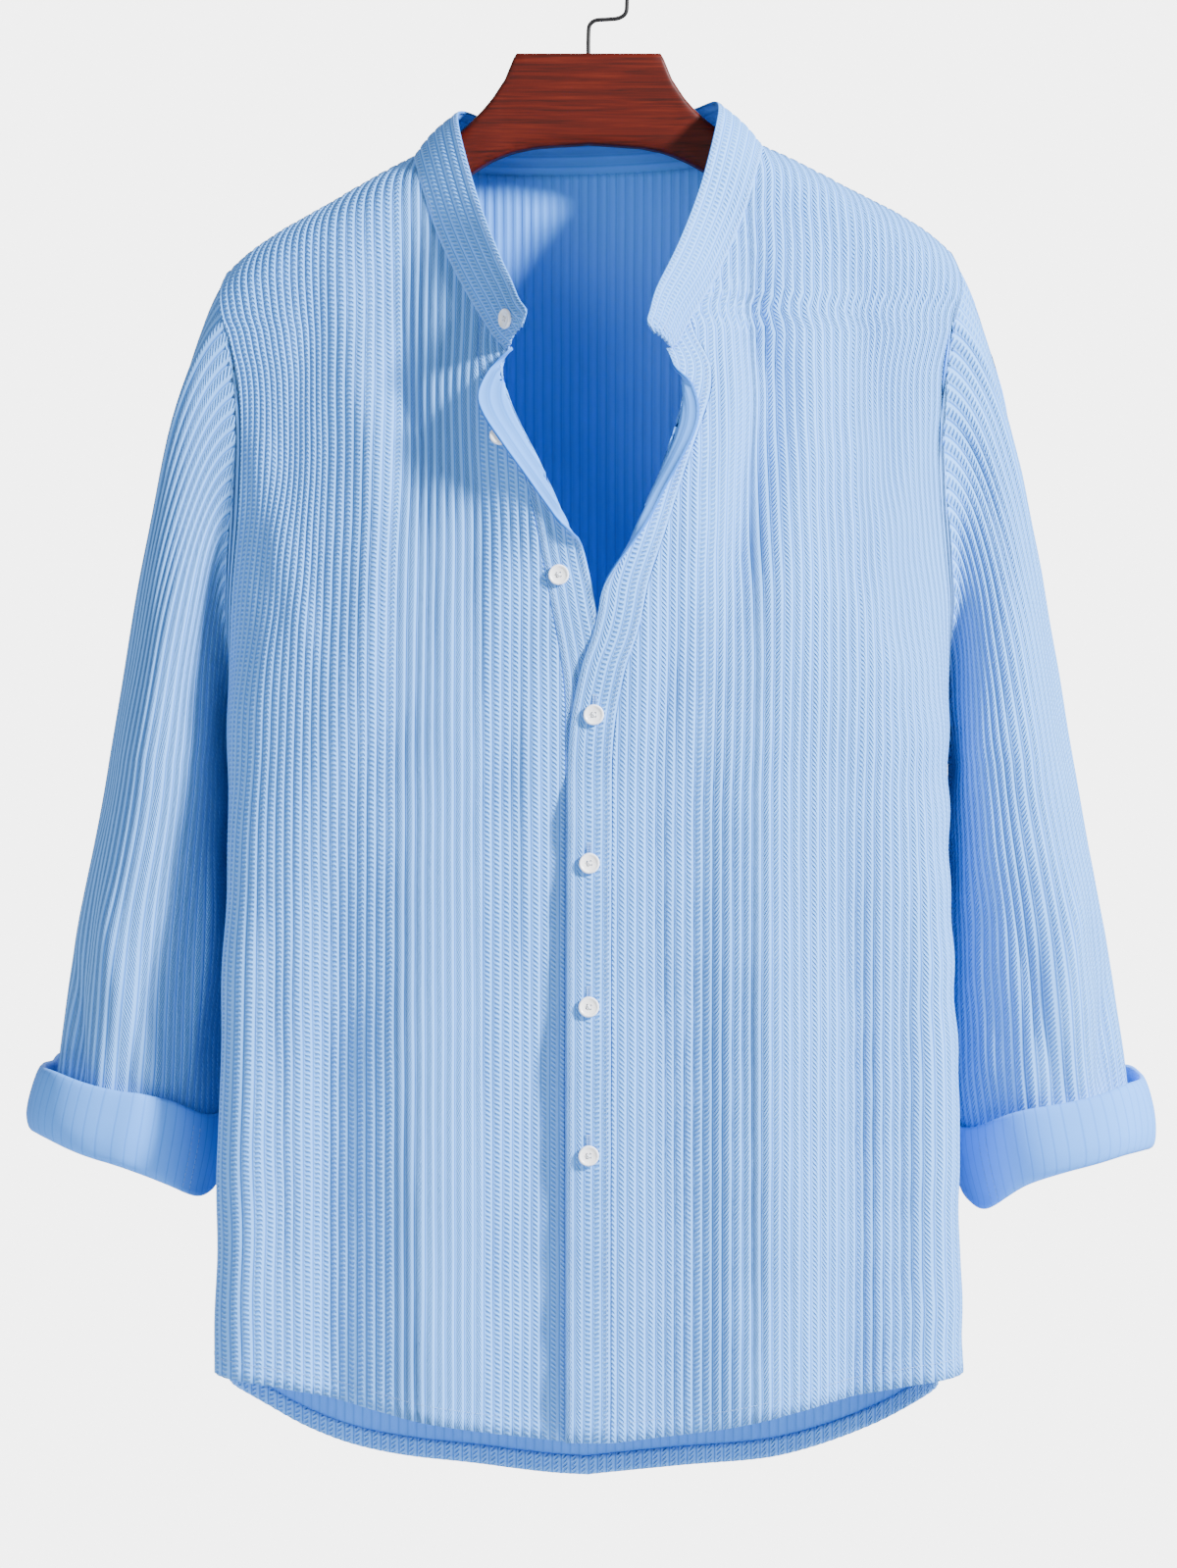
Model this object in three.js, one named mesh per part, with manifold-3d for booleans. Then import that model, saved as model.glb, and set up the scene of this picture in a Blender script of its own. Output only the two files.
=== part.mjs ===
// A long-sleeved mandarin collar shirt in ribbed crinkle cloth, hung on a broad wooden hanger.
// The neck stands open, the lower buttons are closed and the sleeves are turned up.
// Millimetres, +Z up, front towards -Y, origin under the top of the hook, where a rod carries it.
// "right" and "left" are the wearer's: the right front is at -X and lies under the left one.
// Heights are given as "down", the distance below the rod.
import * as THREE from "three";
import Module from "manifold-3d";

const seamGap = 0.3;
const cloth = { valley: 1.2, rib: 0.9, placketRib: 0.6, collarRib: 0.7 };

const clothBlue = new THREE.MeshStandardMaterial({ color: 0x9fc6ef, roughness: 0.85, metalness: 0 });
const reverseBlue = new THREE.MeshStandardMaterial({ color: 0xa3c8f0, roughness: 0.9, metalness: 0 });
const buttonWhite = new THREE.MeshStandardMaterial({ color: 0xf2f3f6, roughness: 0.3, metalness: 0 });
const mahogany = new THREE.MeshStandardMaterial({ color: 0x7a2e1f, roughness: 0.4, metalness: 0 });
const blackWire = new THREE.MeshStandardMaterial({ color: 0x17171a, roughness: 0.35, metalness: 0.8 });

// Small helpers

const clamp = (x, low, high) => Math.min(high, Math.max(low, x));

function ease(low, high, x) {
  const t = clamp((x - low) / (high - low), 0, 1);
  return t * t * (3 - 2 * t);
}

const bump = (x, at, reach) => Math.exp(-(((x - at) / reach) ** 2));

// A smooth curve through one column of a table, level beyond its ends.
function through(rows, at, of) {
  const x = rows.map((row) => row[at]);
  const y = rows.map((row) => row[of]);
  const last = x.length - 1;
  const slope = x.map((_, i) => {
    const a = Math.max(0, i - 1);
    const b = Math.min(last, i + 1);
    return (y[b] - y[a]) / (x[b] - x[a]);
  });
  return (value) => {
    const v = clamp(value, x[0], x[last]);
    const i = Math.min(last - 1, x.findIndex((_, k) => k === last || x[k + 1] >= v));
    const h = x[i + 1] - x[i];
    const t = (v - x[i]) / h;
    const rise = t * t * (3 - 2 * t);
    const start = t * (1 - t) * (1 - t) * h * slope[i];
    const stop = t * t * (t - 1) * h * slope[i + 1];
    return y[i] + (y[i + 1] - y[i]) * rise + start + stop;
  };
}

// Body: the hollow form that the cloth hangs in

const armRound = 26; // half depth of the cloth where it rolls over the hanger's arm
const armRoll = 9;
const fillDrop = 320; // drop below the shoulder over which the body fills out
const lean = 0.03; // the shoulders hang a little higher on the wearer's left
const underarmDown = 425;
const blockDown = 442; // below this the rows are level

const bodyRows = [
  { down: 100, half: 251, front: 92, back: 80 },
  { down: 185, half: 249, front: 92, back: 84 },
  { down: 200, half: 245, front: 92, back: 84 },
  { down: 214, half: 239, front: 92, back: 85 },
  { down: 230, half: 231, front: 92, back: 85 },
  { down: 240, half: 225.5, front: 92, back: 85 },
  { down: 262, half: 219, front: 93, back: 86 },
  { down: 290, half: 213, front: 95, back: 86 },
  { down: 330, half: 208.5, front: 96, back: 87 },
  { down: 420, half: 206.5, front: 98, back: 88 },
  { down: 530, half: 204.5, front: 98, back: 88 },
  { down: 670, half: 205.5, front: 96, back: 87 },
  { down: 805, half: 207, front: 94, back: 86 },
  { down: 900, half: 207.5, front: 94, back: 86 },
];
// Exponent of the rounded section, seen from above: the lower part hangs flatter, with sharper sides.
const squarenessRows = [
  { down: 250, power: 2.8 },
  { down: 330, power: 3.4 },
  { down: 442, power: 4.8 },
  { down: 670, power: 6.6 },
  { down: 900, power: 6.6 },
];
const squareness = through(squarenessRows, "down", "power");
const bodyHalf = through(bodyRows, "down", "half");
const bodyDepth = { front: through(bodyRows, "down", "front"), back: through(bodyRows, "down", "back") };

// The shoulder line, and its run on towards the neck, by the distance out from the middle.
const shoulderRows = [
  { out: 0, down: 68 },
  { out: 60, down: 94 },
  { out: 98, down: 114 },
  { out: 120, down: 125 },
  { out: 150, down: 141.5 },
  { out: 175, down: 155 },
  { out: 195, down: 167 },
  { out: 209, down: 179 },
  { out: 219, down: 193 },
  { out: 224, down: 204 },
];
const shoulderMean = through(shoulderRows, "out", "down");
const shoulderDown = (x) => shoulderMean(Math.abs(x)) - lean * x;
const neckOut = 98;

const frontNeckRows = [
  { out: 30, down: 235 },
  { out: 42, down: 230 },
  { out: 56, down: 214 },
  { out: 70, down: 191 },
  { out: 84, down: 161 },
  { out: 92, down: 137 },
  { out: neckOut, down: 114 },
];
const frontNeckMean = through(frontNeckRows, "out", "down");
const backNeckRows = [
  { out: 0, down: 123 },
  { out: 40, down: 122.5 },
  { out: 75, down: 120 },
  { out: neckOut, down: 114 },
];
const backNeckMean = through(backNeckRows, "out", "down");
const neckDown = {
  front: (x) => frontNeckMean(Math.abs(x)) - lean * x,
  back: (x) => backNeckMean(Math.abs(x)) - lean * x,
};

// The armhole: how far from the side seam it is cut away, and how high the cloth reaches there.
const armholeRows = [
  { fromSide: 0, down: underarmDown },
  { fromSide: 8, down: 420 },
  { fromSide: 16, down: 403 },
  { fromSide: 23, down: 372 },
  { fromSide: 28, down: 320 },
  { fromSide: 31, down: 270 },
  { fromSide: 34, down: 234 },
  { fromSide: 37, down: 213 },
];
const armholeDown = through(armholeRows, "fromSide", "down");
const armholeCut = 38;

const hemRows = {
  front: [
    { across: 0, down: 808 },
    { across: 0.12, down: 812 },
    { across: 0.3, down: 818 },
    { across: 0.5, down: 827 },
    { across: 0.75, down: 836 },
    { across: 1, down: 840 },
  ],
  back: [
    { across: 0, down: 808 },
    { across: 0.1, down: 820 },
    { across: 0.25, down: 846 },
    { across: 0.4, down: 866 },
    { across: 0.65, down: 878 },
    { across: 1, down: 881 },
  ],
};
const hemDown = {
  front: through(hemRows.front, "across", "down"),
  back: through(hemRows.back, "across", "down"),
};

// Folds: where across the panel (0 side seam, 1 middle), how wide, how far out,
// and the drop over which each grows and ends.
const folds = {
  right: [
    { at: 0.29, reach: 0.06, out: 9, from: 430, full: 660, end: 2000 },
    { at: 0.475, reach: 0.055, out: -9, from: 430, full: 670, end: 2000 },
    { at: 0.64, reach: 0.08, out: 9, from: 400, full: 670, end: 2000 },
    { at: 0.87, reach: 0.08, out: -6, from: 430, full: 670, end: 2000 },
    { at: 0.66, reach: 0.07, out: -3, from: 140, full: 260, end: 430 },
    { at: 0.54, reach: 0.08, out: 3, from: 150, full: 260, end: 460 },
    { at: 0.96, reach: 0.16, out: 17, from: 150, full: 270, end: 372 },
  ],
  left: [
    { at: 0.29, reach: 0.06, out: 9, from: 430, full: 660, end: 2000 },
    { at: 0.46, reach: 0.05, out: -8, from: 400, full: 660, end: 2000 },
    { at: 0.64, reach: 0.1, out: 12, from: 380, full: 660, end: 2000 },
    { at: 0.72, reach: 0.065, out: -5, from: 140, full: 250, end: 430 },
    { at: 0.59, reach: 0.07, out: 4, from: 140, full: 250, end: 430 },
    { at: 0.97, reach: 0.16, out: 14, from: 140, full: 260, end: 372 },
  ],
  back: [
    { at: 0.14, reach: 0.05, out: 6, from: 330, full: 700, end: 2000 },
    { at: 0.24, reach: 0.05, out: -7, from: 330, full: 720, end: 2000 },
    { at: 0.36, reach: 0.05, out: 7, from: 260, full: 640, end: 2000 },
    { at: 0.47, reach: 0.04, out: -6, from: 420, full: 760, end: 2000 },
    { at: 0.58, reach: 0.055, out: 7, from: 300, full: 700, end: 2000 },
    { at: 0.7, reach: 0.05, out: -8, from: 280, full: 680, end: 2000 },
    { at: 0.82, reach: 0.05, out: 7, from: 330, full: 720, end: 2000 },
    { at: 0.9, reach: 0.03, out: -4, from: 380, full: 760, end: 2000 },
  ],
};
const sidePinch = { out: -11, reach: 50, from: 330, full: 480, hold: 700, end: 800 };

function foldOut(list, across, down) {
  return list.reduce((sum, fold) => {
    const grown = ease(fold.from, fold.full, down) * (1 - ease(fold.end - 90, fold.end, down));
    return sum + fold.out * grown * bump(across, fold.at, fold.reach);
  }, 0);
}

const pinchOut = (fromSide, down) =>
  sidePinch.out *
  ease(sidePinch.from, sidePinch.full, down) *
  (1 - ease(sidePinch.hold, sidePinch.end, down)) *
  bump(fromSide, 0, sidePinch.reach);

// The depth of the cloth from the middle plane: over the arm, then filling out to the chest.
function depthAt(face, x, down) {
  const half = bodyHalf(down);
  const power = squareness(down);
  const round = (1 - Math.min(1, Math.abs(x) / half) ** power) ** (1 / power);
  const drop = Math.max(0, down - shoulderDown(x));
  const full = bodyDepth[face](down);
  return round * (armRound * (1 - Math.exp(-drop / armRoll)) + (full - armRound) * ease(0, fillDrop, drop));
}

// A level section of one face, from the side at -X to the side at +X, with its running length.
const sections = new Map();
const sectionSteps = 180;
function section(face, down) {
  const key = face + down.toFixed(3);
  if (sections.has(key)) return sections.get(key);
  const sign = face === "front" ? -1 : 1;
  const half = bodyHalf(down);
  const x = [];
  const y = [];
  const run = [];
  for (let i = 0; i <= sectionSteps; i++) {
    const turn = Math.cos((Math.PI * i) / sectionSteps);
    x.push(-half * Math.sign(turn) * Math.abs(turn) ** (2 / squareness(down)));
    y.push(sign * (seamGap / 2 + depthAt(face, x[i], down)));
    run.push(i ? run[i - 1] + Math.hypot(x[i] - x[i - 1], y[i] - y[i - 1]) : 0);
  }
  const made = { x, y, run, length: run[sectionSteps] };
  sections.set(key, made);
  return made;
}

// Reads one list of a section where another list has a value, past its ends too.
function readSection(made, from, to, value) {
  const list = made[from];
  let low = 0;
  let high = list.length - 1;
  while (high - low > 1) {
    const middle = (low + high) >> 1;
    if (list[middle] <= value) low = middle;
    else high = middle;
  }
  const t = (value - list[low]) / (list[high] - list[low]);
  return made[to][low] + (made[to][high] - made[to][low]) * t;
}

// Fronts: the edge of each one, the turned-over flap of its placket, and the cloth between

const placketWidth = 25;
const placketBend = 5.2; // half length of the roll where a placket turns over
const flapTurn = { right: 2.7, left: 2.35 }; // radians
// Where each strip creases, how much of it is turned over there, and how far its seam follows the crease.
const creaseRows = {
  right: [
    { down: 100, x: -26, flap: 0, seam: 0 },
    { down: 200, x: -34, flap: 0, seam: 1 },
    { down: 228, x: -38.5, flap: 0, seam: 4 },
    { down: 246, x: -41.5, flap: 12, seam: 9 },
    { down: 262, x: -37, flap: 21, seam: 13 },
    { down: 287, x: -26, flap: 18.5, seam: 13 },
    { down: 301, x: -19.5, flap: 15.5, seam: 11 },
    { down: 314, x: -14, flap: 12, seam: 8 },
    { down: 330, x: -8, flap: 7, seam: 5 },
    { down: 347, x: -2.5, flap: 1.5, seam: 2 },
    { down: 372, x: 3.8, flap: 0, seam: 0 },
    { down: 400, x: 9, flap: 0, seam: 0 },
    { down: 430, x: 12, flap: 0, seam: 0 },
    { down: 900, x: 12, flap: 0, seam: 0 },
  ],
  left: [
    { down: 100, x: 24, flap: 0, seam: 0 },
    { down: 200, x: 28, flap: 0, seam: 0 },
    { down: 222, x: 33, flap: 0, seam: 1 },
    { down: 240, x: 43, flap: 2, seam: 3 },
    { down: 256, x: 46, flap: 10, seam: 6 },
    { down: 272, x: 43.5, flap: 15, seam: 8 },
    { down: 293, x: 37.5, flap: 13, seam: 9 },
    { down: 314, x: 29.5, flap: 10, seam: 7 },
    { down: 340, x: 18.5, flap: 6.5, seam: 4 },
    { down: 362, x: 10, flap: 3.5, seam: 2 },
    { down: 378, x: 5, flap: 0, seam: 0 },
    { down: 393, x: 1.6, flap: 0, seam: 0 },
    { down: 410, x: -4.4, flap: 0, seam: 0 },
    { down: 442, x: -10.4, flap: 0, seam: 0 },
    { down: 475, x: -12, flap: 0, seam: 0 },
    { down: 900, x: -13, flap: 0, seam: 0 },
  ],
};
const bySide = (column) => ({
  right: through(creaseRows.right, "down", column),
  left: through(creaseRows.left, "down", column),
});
const creaseX = bySide("x");
const flapWidth = bySide("flap");
const seamShift = bySide("seam");
const overlap = { out: 2.9, reach: 55, blend: 25 }; // the left front lies this far over the right one

// Length of cloth from the side seam to the crease of the opening.
function creaseRun(side, down) {
  const made = section("front", down);
  const run = readSection(made, "x", "run", creaseX[side](down));
  return side === "right" ? run : made.length - run;
}

const seamRun = (side, down) => creaseRun(side, down) - placketWidth + seamShift[side](down);

// A point of a front at a length from its side seam.
function frontPoint(side, run, down) {
  const made = section("front", down);
  const along = (r) => (side === "right" ? r : made.length - r);
  const at = (r) => [readSection(made, "run", "x", along(r)), readSection(made, "run", "y", along(r))];
  const [x, y] = at(run);
  const [xa, ya] = at(run - 2);
  const [xb, yb] = at(run + 2);
  const size = Math.hypot(xb - xa, yb - ya);
  const flip = side === "right" ? 1 : -1;
  const edge = creaseRun(side, down);
  const lapped = ease(-overlap.reach, -overlap.reach + overlap.blend, run - edge);
  const lap = side === "left" ? overlap.out * lapped : 0;
  const out = foldOut(folds[side], run / edge, down) + pinchOut(run, down) + lap;
  return new THREE.Vector3(
    x + (out * flip * (yb - ya)) / size,
    y - (out * flip * (xb - xa)) / size,
    -down,
  );
}

function backPoint(run, down) {
  const made = section("back", down);
  const at = (r) => [readSection(made, "run", "x", r), readSection(made, "run", "y", r)];
  const [x, y] = at(run);
  const [xa, ya] = at(run - 2);
  const [xb, yb] = at(run + 2);
  const size = Math.hypot(xb - xa, yb - ya);
  const fromSide = Math.min(run, made.length - run);
  const out = foldOut(folds.back, run / made.length, down) + pinchOut(fromSide, down);
  return new THREE.Vector3(x - (out * (yb - ya)) / size, y + (out * (xb - xa)) / size, -down);
}

// The direction square to the cloth at a point, from places a millimetre either side of it.
function normalAt(pointOf, run, down) {
  const across = pointOf(run + 1, down).sub(pointOf(run - 1, down));
  const along = pointOf(run, down + 1).sub(pointOf(run, down - 1));
  return across.cross(along).normalize();
}

// Where a column of cloth stops at the top: the armhole, or else the shoulder or the neck.
function topDown(face, fromSide, xAt) {
  if (fromSide < armholeCut) return armholeDown(fromSide);
  let low = 100;
  let high = blockDown - 5;
  for (let i = 0; i < 40; i++) {
    const down = (low + high) / 2;
    const x = xAt(down);
    const line = Math.abs(x) > neckOut ? shoulderDown(x) : neckDown[face](x);
    if (down > line) high = down;
    else low = down;
  }
  return high;
}

// Walls: a plain inner face, an outer face with a rib on every second column, and rims between

const levels = { upper: [0, 0.015, 0.06, 0.18, 0.44, 0.7, 1], lower: [0.6, 1] };

// All the rows of a panel in one list, from the top edge to the hem.
function downsOf(top, hem) {
  const upper = levels.upper.map((t) => top + (blockDown - top) * t);
  const lower = levels.lower.map((t) => blockDown + (hem - blockDown) * t);
  return [...upper, ...lower];
}

const cornerRatio = 6; // a neighbour this much farther off than the other is round a corner
function normalsOf(grid, loop) {
  const columns = grid.length;
  return grid.map((column, i) =>
    column.map((_, j) => {
      const before = loop ? (i + columns - 1) % columns : Math.max(0, i - 1);
      const after = loop ? (i + 1) % columns : Math.min(columns - 1, i + 1);
      const far = column[j].distanceTo(grid[before][j]) / (column[j].distanceTo(grid[after][j]) || 1);
      const from = far > cornerRatio ? column[j] : grid[before][j];
      const to = far && far < 1 / cornerRatio ? column[j] : grid[after][j];
      const across = to.clone().sub(from);
      const along = column[Math.min(column.length - 1, j + 1)].clone().sub(column[Math.max(0, j - 1)]);
      return across.cross(along).normalize();
    }),
  );
}

// A solid wall from a grid of points on its inner face, grid[column][row], thickened to the side of its
// normals.
function wall(grid, options = {}) {
  const { loop = false, step = 5, side = 1, valley = cloth.valley, rib = cloth.rib, normals } = options;
  const outwards = normals ?? normalsOf(grid, loop);
  const rows = grid[0].length;
  const positions = [];
  const index = [];
  const add = (p) => positions.push(p.x, p.y, p.z) / 3 - 1;
  const outer = grid.map((column, i) =>
    column.map((p, j) => add(p.clone().addScaledVector(outwards[i][j], side * (valley + (i % 2 ? rib : 0))))),
  );
  const inner = grid.filter((_, i) => i % step === 0).map((column) => column.map(add));
  if (loop) {
    outer.push(outer[0]);
    inner.push(inner[0]);
  }
  const quad = (a, b, c, d) => index.push(a, b, c, a, c, d);
  for (let j = 0; j < rows - 1; j++) {
    for (let i = 0; i < outer.length - 1; i++) {
      quad(outer[i][j], outer[i][j + 1], outer[i + 1][j + 1], outer[i + 1][j]);
    }
    for (let i = 0; i < inner.length - 1; i++) {
      quad(inner[i][j], inner[i + 1][j], inner[i + 1][j + 1], inner[i][j + 1]);
    }
    if (!loop) {
      quad(outer[0][j], inner[0][j], inner[0][j + 1], outer[0][j + 1]);
      quad(outer.at(-1)[j + 1], inner.at(-1)[j + 1], inner.at(-1)[j], outer.at(-1)[j]);
    }
  }
  for (const [j, flip] of [[0, false], [rows - 1, true]]) {
    const tri = (a, b, c) => (flip ? index.push(a, c, b) : index.push(a, b, c));
    for (let i = 0; i < inner.length - 1; i++) {
      const middle = i * step + (step >> 1);
      for (let k = i * step; k < (i + 1) * step; k++) {
        tri(outer[k][j], outer[k + 1][j], inner[k < middle ? i : i + 1][j]);
      }
      tri(inner[i][j], outer[middle][j], inner[i + 1][j]);
    }
  }
  return solid(positions, index);
}

function solid(positions, index) {
  const p = positions;
  let volume = 0;
  for (let i = 0; i < index.length; i += 3) {
    const [a, b, c] = [index[i] * 3, index[i + 1] * 3, index[i + 2] * 3];
    volume +=
      p[a] * (p[b + 1] * p[c + 2] - p[b + 2] * p[c + 1]) +
      p[a + 1] * (p[b + 2] * p[c] - p[b] * p[c + 2]) +
      p[a + 2] * (p[b] * p[c + 1] - p[b + 1] * p[c]);
  }
  for (let i = 0; volume < 0 && i < index.length; i += 3) {
    [index[i], index[i + 1]] = [index[i + 1], index[i]];
  }
  const geometry = new THREE.BufferGeometry();
  geometry.setAttribute("position", new THREE.BufferAttribute(new Float32Array(positions), 3));
  geometry.setIndex(index);
  return geometry;
}

const shirt = new THREE.Group();
function piece(name, geometry, material) {
  const mesh = new THREE.Mesh(geometry, material);
  mesh.name = name;
  shirt.add(mesh);
  return mesh;
}

// Front panels and back

const frontColumns = 90;
const backColumns = 180;

// A panel: its points and normals by column and row. "side" is the side on which its wall is thickened.
function panel(side, columns) {
  const grid = (read) => columns.map(({ downs, runAt, pointOf }) => downs.map((d) => read(pointOf, runAt(d), d)));
  return { side, points: grid((pointOf, run, down) => pointOf(run, down)), normals: grid(normalAt) };
}

function frontPanel(side) {
  const pointOf = (run, down) => frontPoint(side, run, down);
  const columns = Array.from({ length: frontColumns + 1 }, (_, i) => {
    const across = i / frontColumns;
    const runAt = (down) => across * (seamRun(side, down) - seamGap);
    const top = topDown("front", runAt(300), (down) => pointOf(runAt(down), down).x);
    return { downs: downsOf(top, hemDown.front(across)), runAt, pointOf };
  });
  return panel(side === "right" ? -1 : 1, columns);
}

function backPanel() {
  const columns = Array.from({ length: backColumns + 1 }, (_, i) => {
    const across = i / backColumns;
    const runAt = (down) => seamGap + across * (section("back", down).length - 2 * seamGap);
    const fromSide = Math.min(across, 1 - across) * section("back", 300).length;
    const top = topDown("back", fromSide, (down) => backPoint(runAt(down), down).x);
    const hem = hemDown.back(Math.min(across, 1 - across) * 2);
    return { downs: downsOf(top, hem), runAt, pointOf: backPoint };
  });
  return panel(1, columns);
}

const fronts = { right: frontPanel("right"), left: frontPanel("left") };
const back = backPanel();
piece("front_right", wall(fronts.right.points, { ...fronts.right, step: 3 }), clothBlue);
piece("front_left", wall(fronts.left.points, { ...fronts.left, step: 3 }), clothBlue);
piece("back", wall(back.points, back), clothBlue);

// Plackets: a strip that carries on from each front's edge, its top part turned over outwards

const placketColumns = 10;

// The edge of a front's wall at a height, straight between the rows of the wall.
function edgeAt(side, down) {
  const edge = fronts[side].points.at(-1);
  const j = clamp(edge.findIndex((p) => -p.z >= down), 1, edge.length - 1);
  const t = (down + edge[j - 1].z) / (edge[j - 1].z - edge[j].z);
  return edge[j - 1].clone().lerp(edge[j], t);
}

function placketStrip(side, down) {
  const run = seamRun(side, down);
  const start = frontPoint(side, run, down);
  const ahead = frontPoint(side, run + 3, down).sub(start).normalize();
  const outward = new THREE.Vector3(-ahead.y, ahead.x, 0).multiplyScalar(side === "right" ? -1 : 1);
  const width = placketWidth - seamShift[side](down) + flapWidth[side](down);
  const bendAt = width - flapWidth[side](down);
  const turn = flapTurn[side] * ease(0, 9, flapWidth[side](down));
  const steps = 50;
  const point = edgeAt(side, down).addScaledVector(ahead, seamGap);
  const made = [point.clone()];
  for (let i = 1; i <= steps; i++) {
    const q = ((i - 0.5) / steps) * width;
    const angle = turn * ease(bendAt - placketBend, bendAt + placketBend, q);
    point.addScaledVector(ahead, (Math.cos(angle) * width) / steps);
    point.addScaledVector(outward, (Math.sin(angle) * width) / steps);
    if (i % (steps / placketColumns) === 0) made.push(point.clone());
  }
  return made;
}

const placketRow = { short: 14, long: 66, shortAbove: 345, neckBlend: 60 };

function placketGrid(side) {
  const edge = fronts[side].points.at(-1).map((p) => -p.z);
  const downs = [];
  edge.slice(1).forEach((stop, j) => {
    const start = edge[j];
    const length = start < placketRow.shortAbove ? placketRow.short : placketRow.long;
    const parts = Math.max(1, Math.round((stop - start) / length));
    for (let k = 0; k < parts; k++) downs.push(start + ((stop - start) * k) / parts);
  });
  downs.push(edge.at(-1));
  const top = placketStrip(side, edge[0]);
  return Array.from({ length: placketColumns + 1 }, (_, i) => {
    const drop = neckDown.front(top[i].x) - edge[0];
    return downs.map((down) => {
      const blend = 1 - ease(0, placketRow.neckBlend, down - edge[0]);
      return placketStrip(side, down + drop * blend)[i];
    });
  });
}

const plackets = {};
for (const [side, sign] of [["right", -1], ["left", 1]]) {
  const points = placketGrid(side);
  plackets[side] = { side: sign, points, normals: normalsOf(points, false) };
  piece("placket_" + side, wall(points, { side: sign, step: 2, rib: cloth.placketRib }), clothBlue);
}

// Edges: lists of places on a seam, each with directions that belong to it

const edgeKeys = ["at", "away", "out"];

// Places at even lengths along such a list.
function spread(edge, count) {
  const run = [0];
  edge.slice(1).forEach(({ at }, i) => run.push(run[i] + at.distanceTo(edge[i].at)));
  return Array.from({ length: count + 1 }, (_, k) => {
    const at = (run.at(-1) * k) / count;
    const i = Math.max(1, run.findIndex((r) => r >= at - 1e-9));
    const t = (at - run[i - 1]) / (run[i] - run[i - 1] || 1);
    const keys = edgeKeys.filter((key) => key in edge[0]);
    return Object.fromEntries(keys.map((key) => [key, edge[i - 1][key].clone().lerp(edge[i][key], t)]));
  });
}

// Evens out the directions of a list, keeping its places.
function soften(edge, loop, passes = 3) {
  const last = edge.length - 1;
  for (let pass = 0; pass < passes; pass++) {
    for (const key of edgeKeys.slice(1).filter((k) => k in edge[0])) {
      const old = edge.map((e) => e[key].clone());
      edge.forEach((e, i) => {
        const before = loop ? (i + last) % (last + 1) : Math.max(0, i - 1);
        const after = loop ? (i + 1) % (last + 1) : Math.min(last, i + 1);
        e[key].add(old[before]).add(old[after]).normalize();
      });
    }
  }
  return edge;
}

// Collar: a band that stands on the neck seam, from one front edge round the back to the other

const collarRows = [
  { round: 0, inwards: 13, forward: 20, up: 19 },
  { round: 0.12, inwards: 22, forward: 17, up: 17 },
  { round: 0.26, inwards: 24, forward: 6, up: 26 },
  { round: 0.32, inwards: 26, forward: 0, up: 28 },
  { round: 0.4, inwards: 10, forward: 8, up: 33 },
  { round: 0.5, inwards: 0, forward: 9, up: 34 },
];
const collarColumns = 10;
const collarSeat = { over: 3.2, along: 0.35 }; // the band's foot laps just over the neck edge

// The neck seam on the cloth, from the right front edge round to the left one.
function neckSeam() {
  const topOf = ({ points, normals, side }) =>
    points
      .map((column, i) => ({ at: column[0], out: normals[i][0].clone().multiplyScalar(side) }))
      .filter(({ at }) => Math.abs(at.x) <= neckOut);
  return [
    ...topOf(plackets.right).reverse(),
    ...topOf(fronts.right).reverse(),
    ...topOf(back),
    ...topOf(fronts.left),
    ...topOf(plackets.left),
  ];
}

function collarGrid() {
  const seam = soften(spread(neckSeam(), 40), false);
  const stands = ["inwards", "forward", "up"].map((key) => through(collarRows, "round", key));
  const rows = seam.map(({ at, out }, k) => {
    const round = k / (seam.length - 1);
    const [inwards, forward, up] = stands.map((of) => of(Math.min(round, 1 - round)));
    const stand = new THREE.Vector3(round < 0.5 ? inwards : -inwards, -forward, up);
    const endTrim = 1 - 0.2 * bump(Math.min(round, 1 - round), 0, 0.02);
    const foot = at.clone().addScaledVector(out, collarSeat.over);
    foot.addScaledVector(stand.clone().normalize(), collarSeat.along);
    return Array.from({ length: collarColumns + 1 }, (_, i) =>
      foot.clone().addScaledVector(stand, (endTrim * i) / collarColumns),
    );
  });
  return Array.from({ length: collarColumns + 1 }, (_, i) => rows.map((row) => row[i]));
}
const collar = collarGrid();
piece("collar", wall(collar, { rib: cloth.collarRib }), clothBlue);

// Sleeves: from the armhole round the shoulder end, down the arm, into a turned-up end

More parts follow.
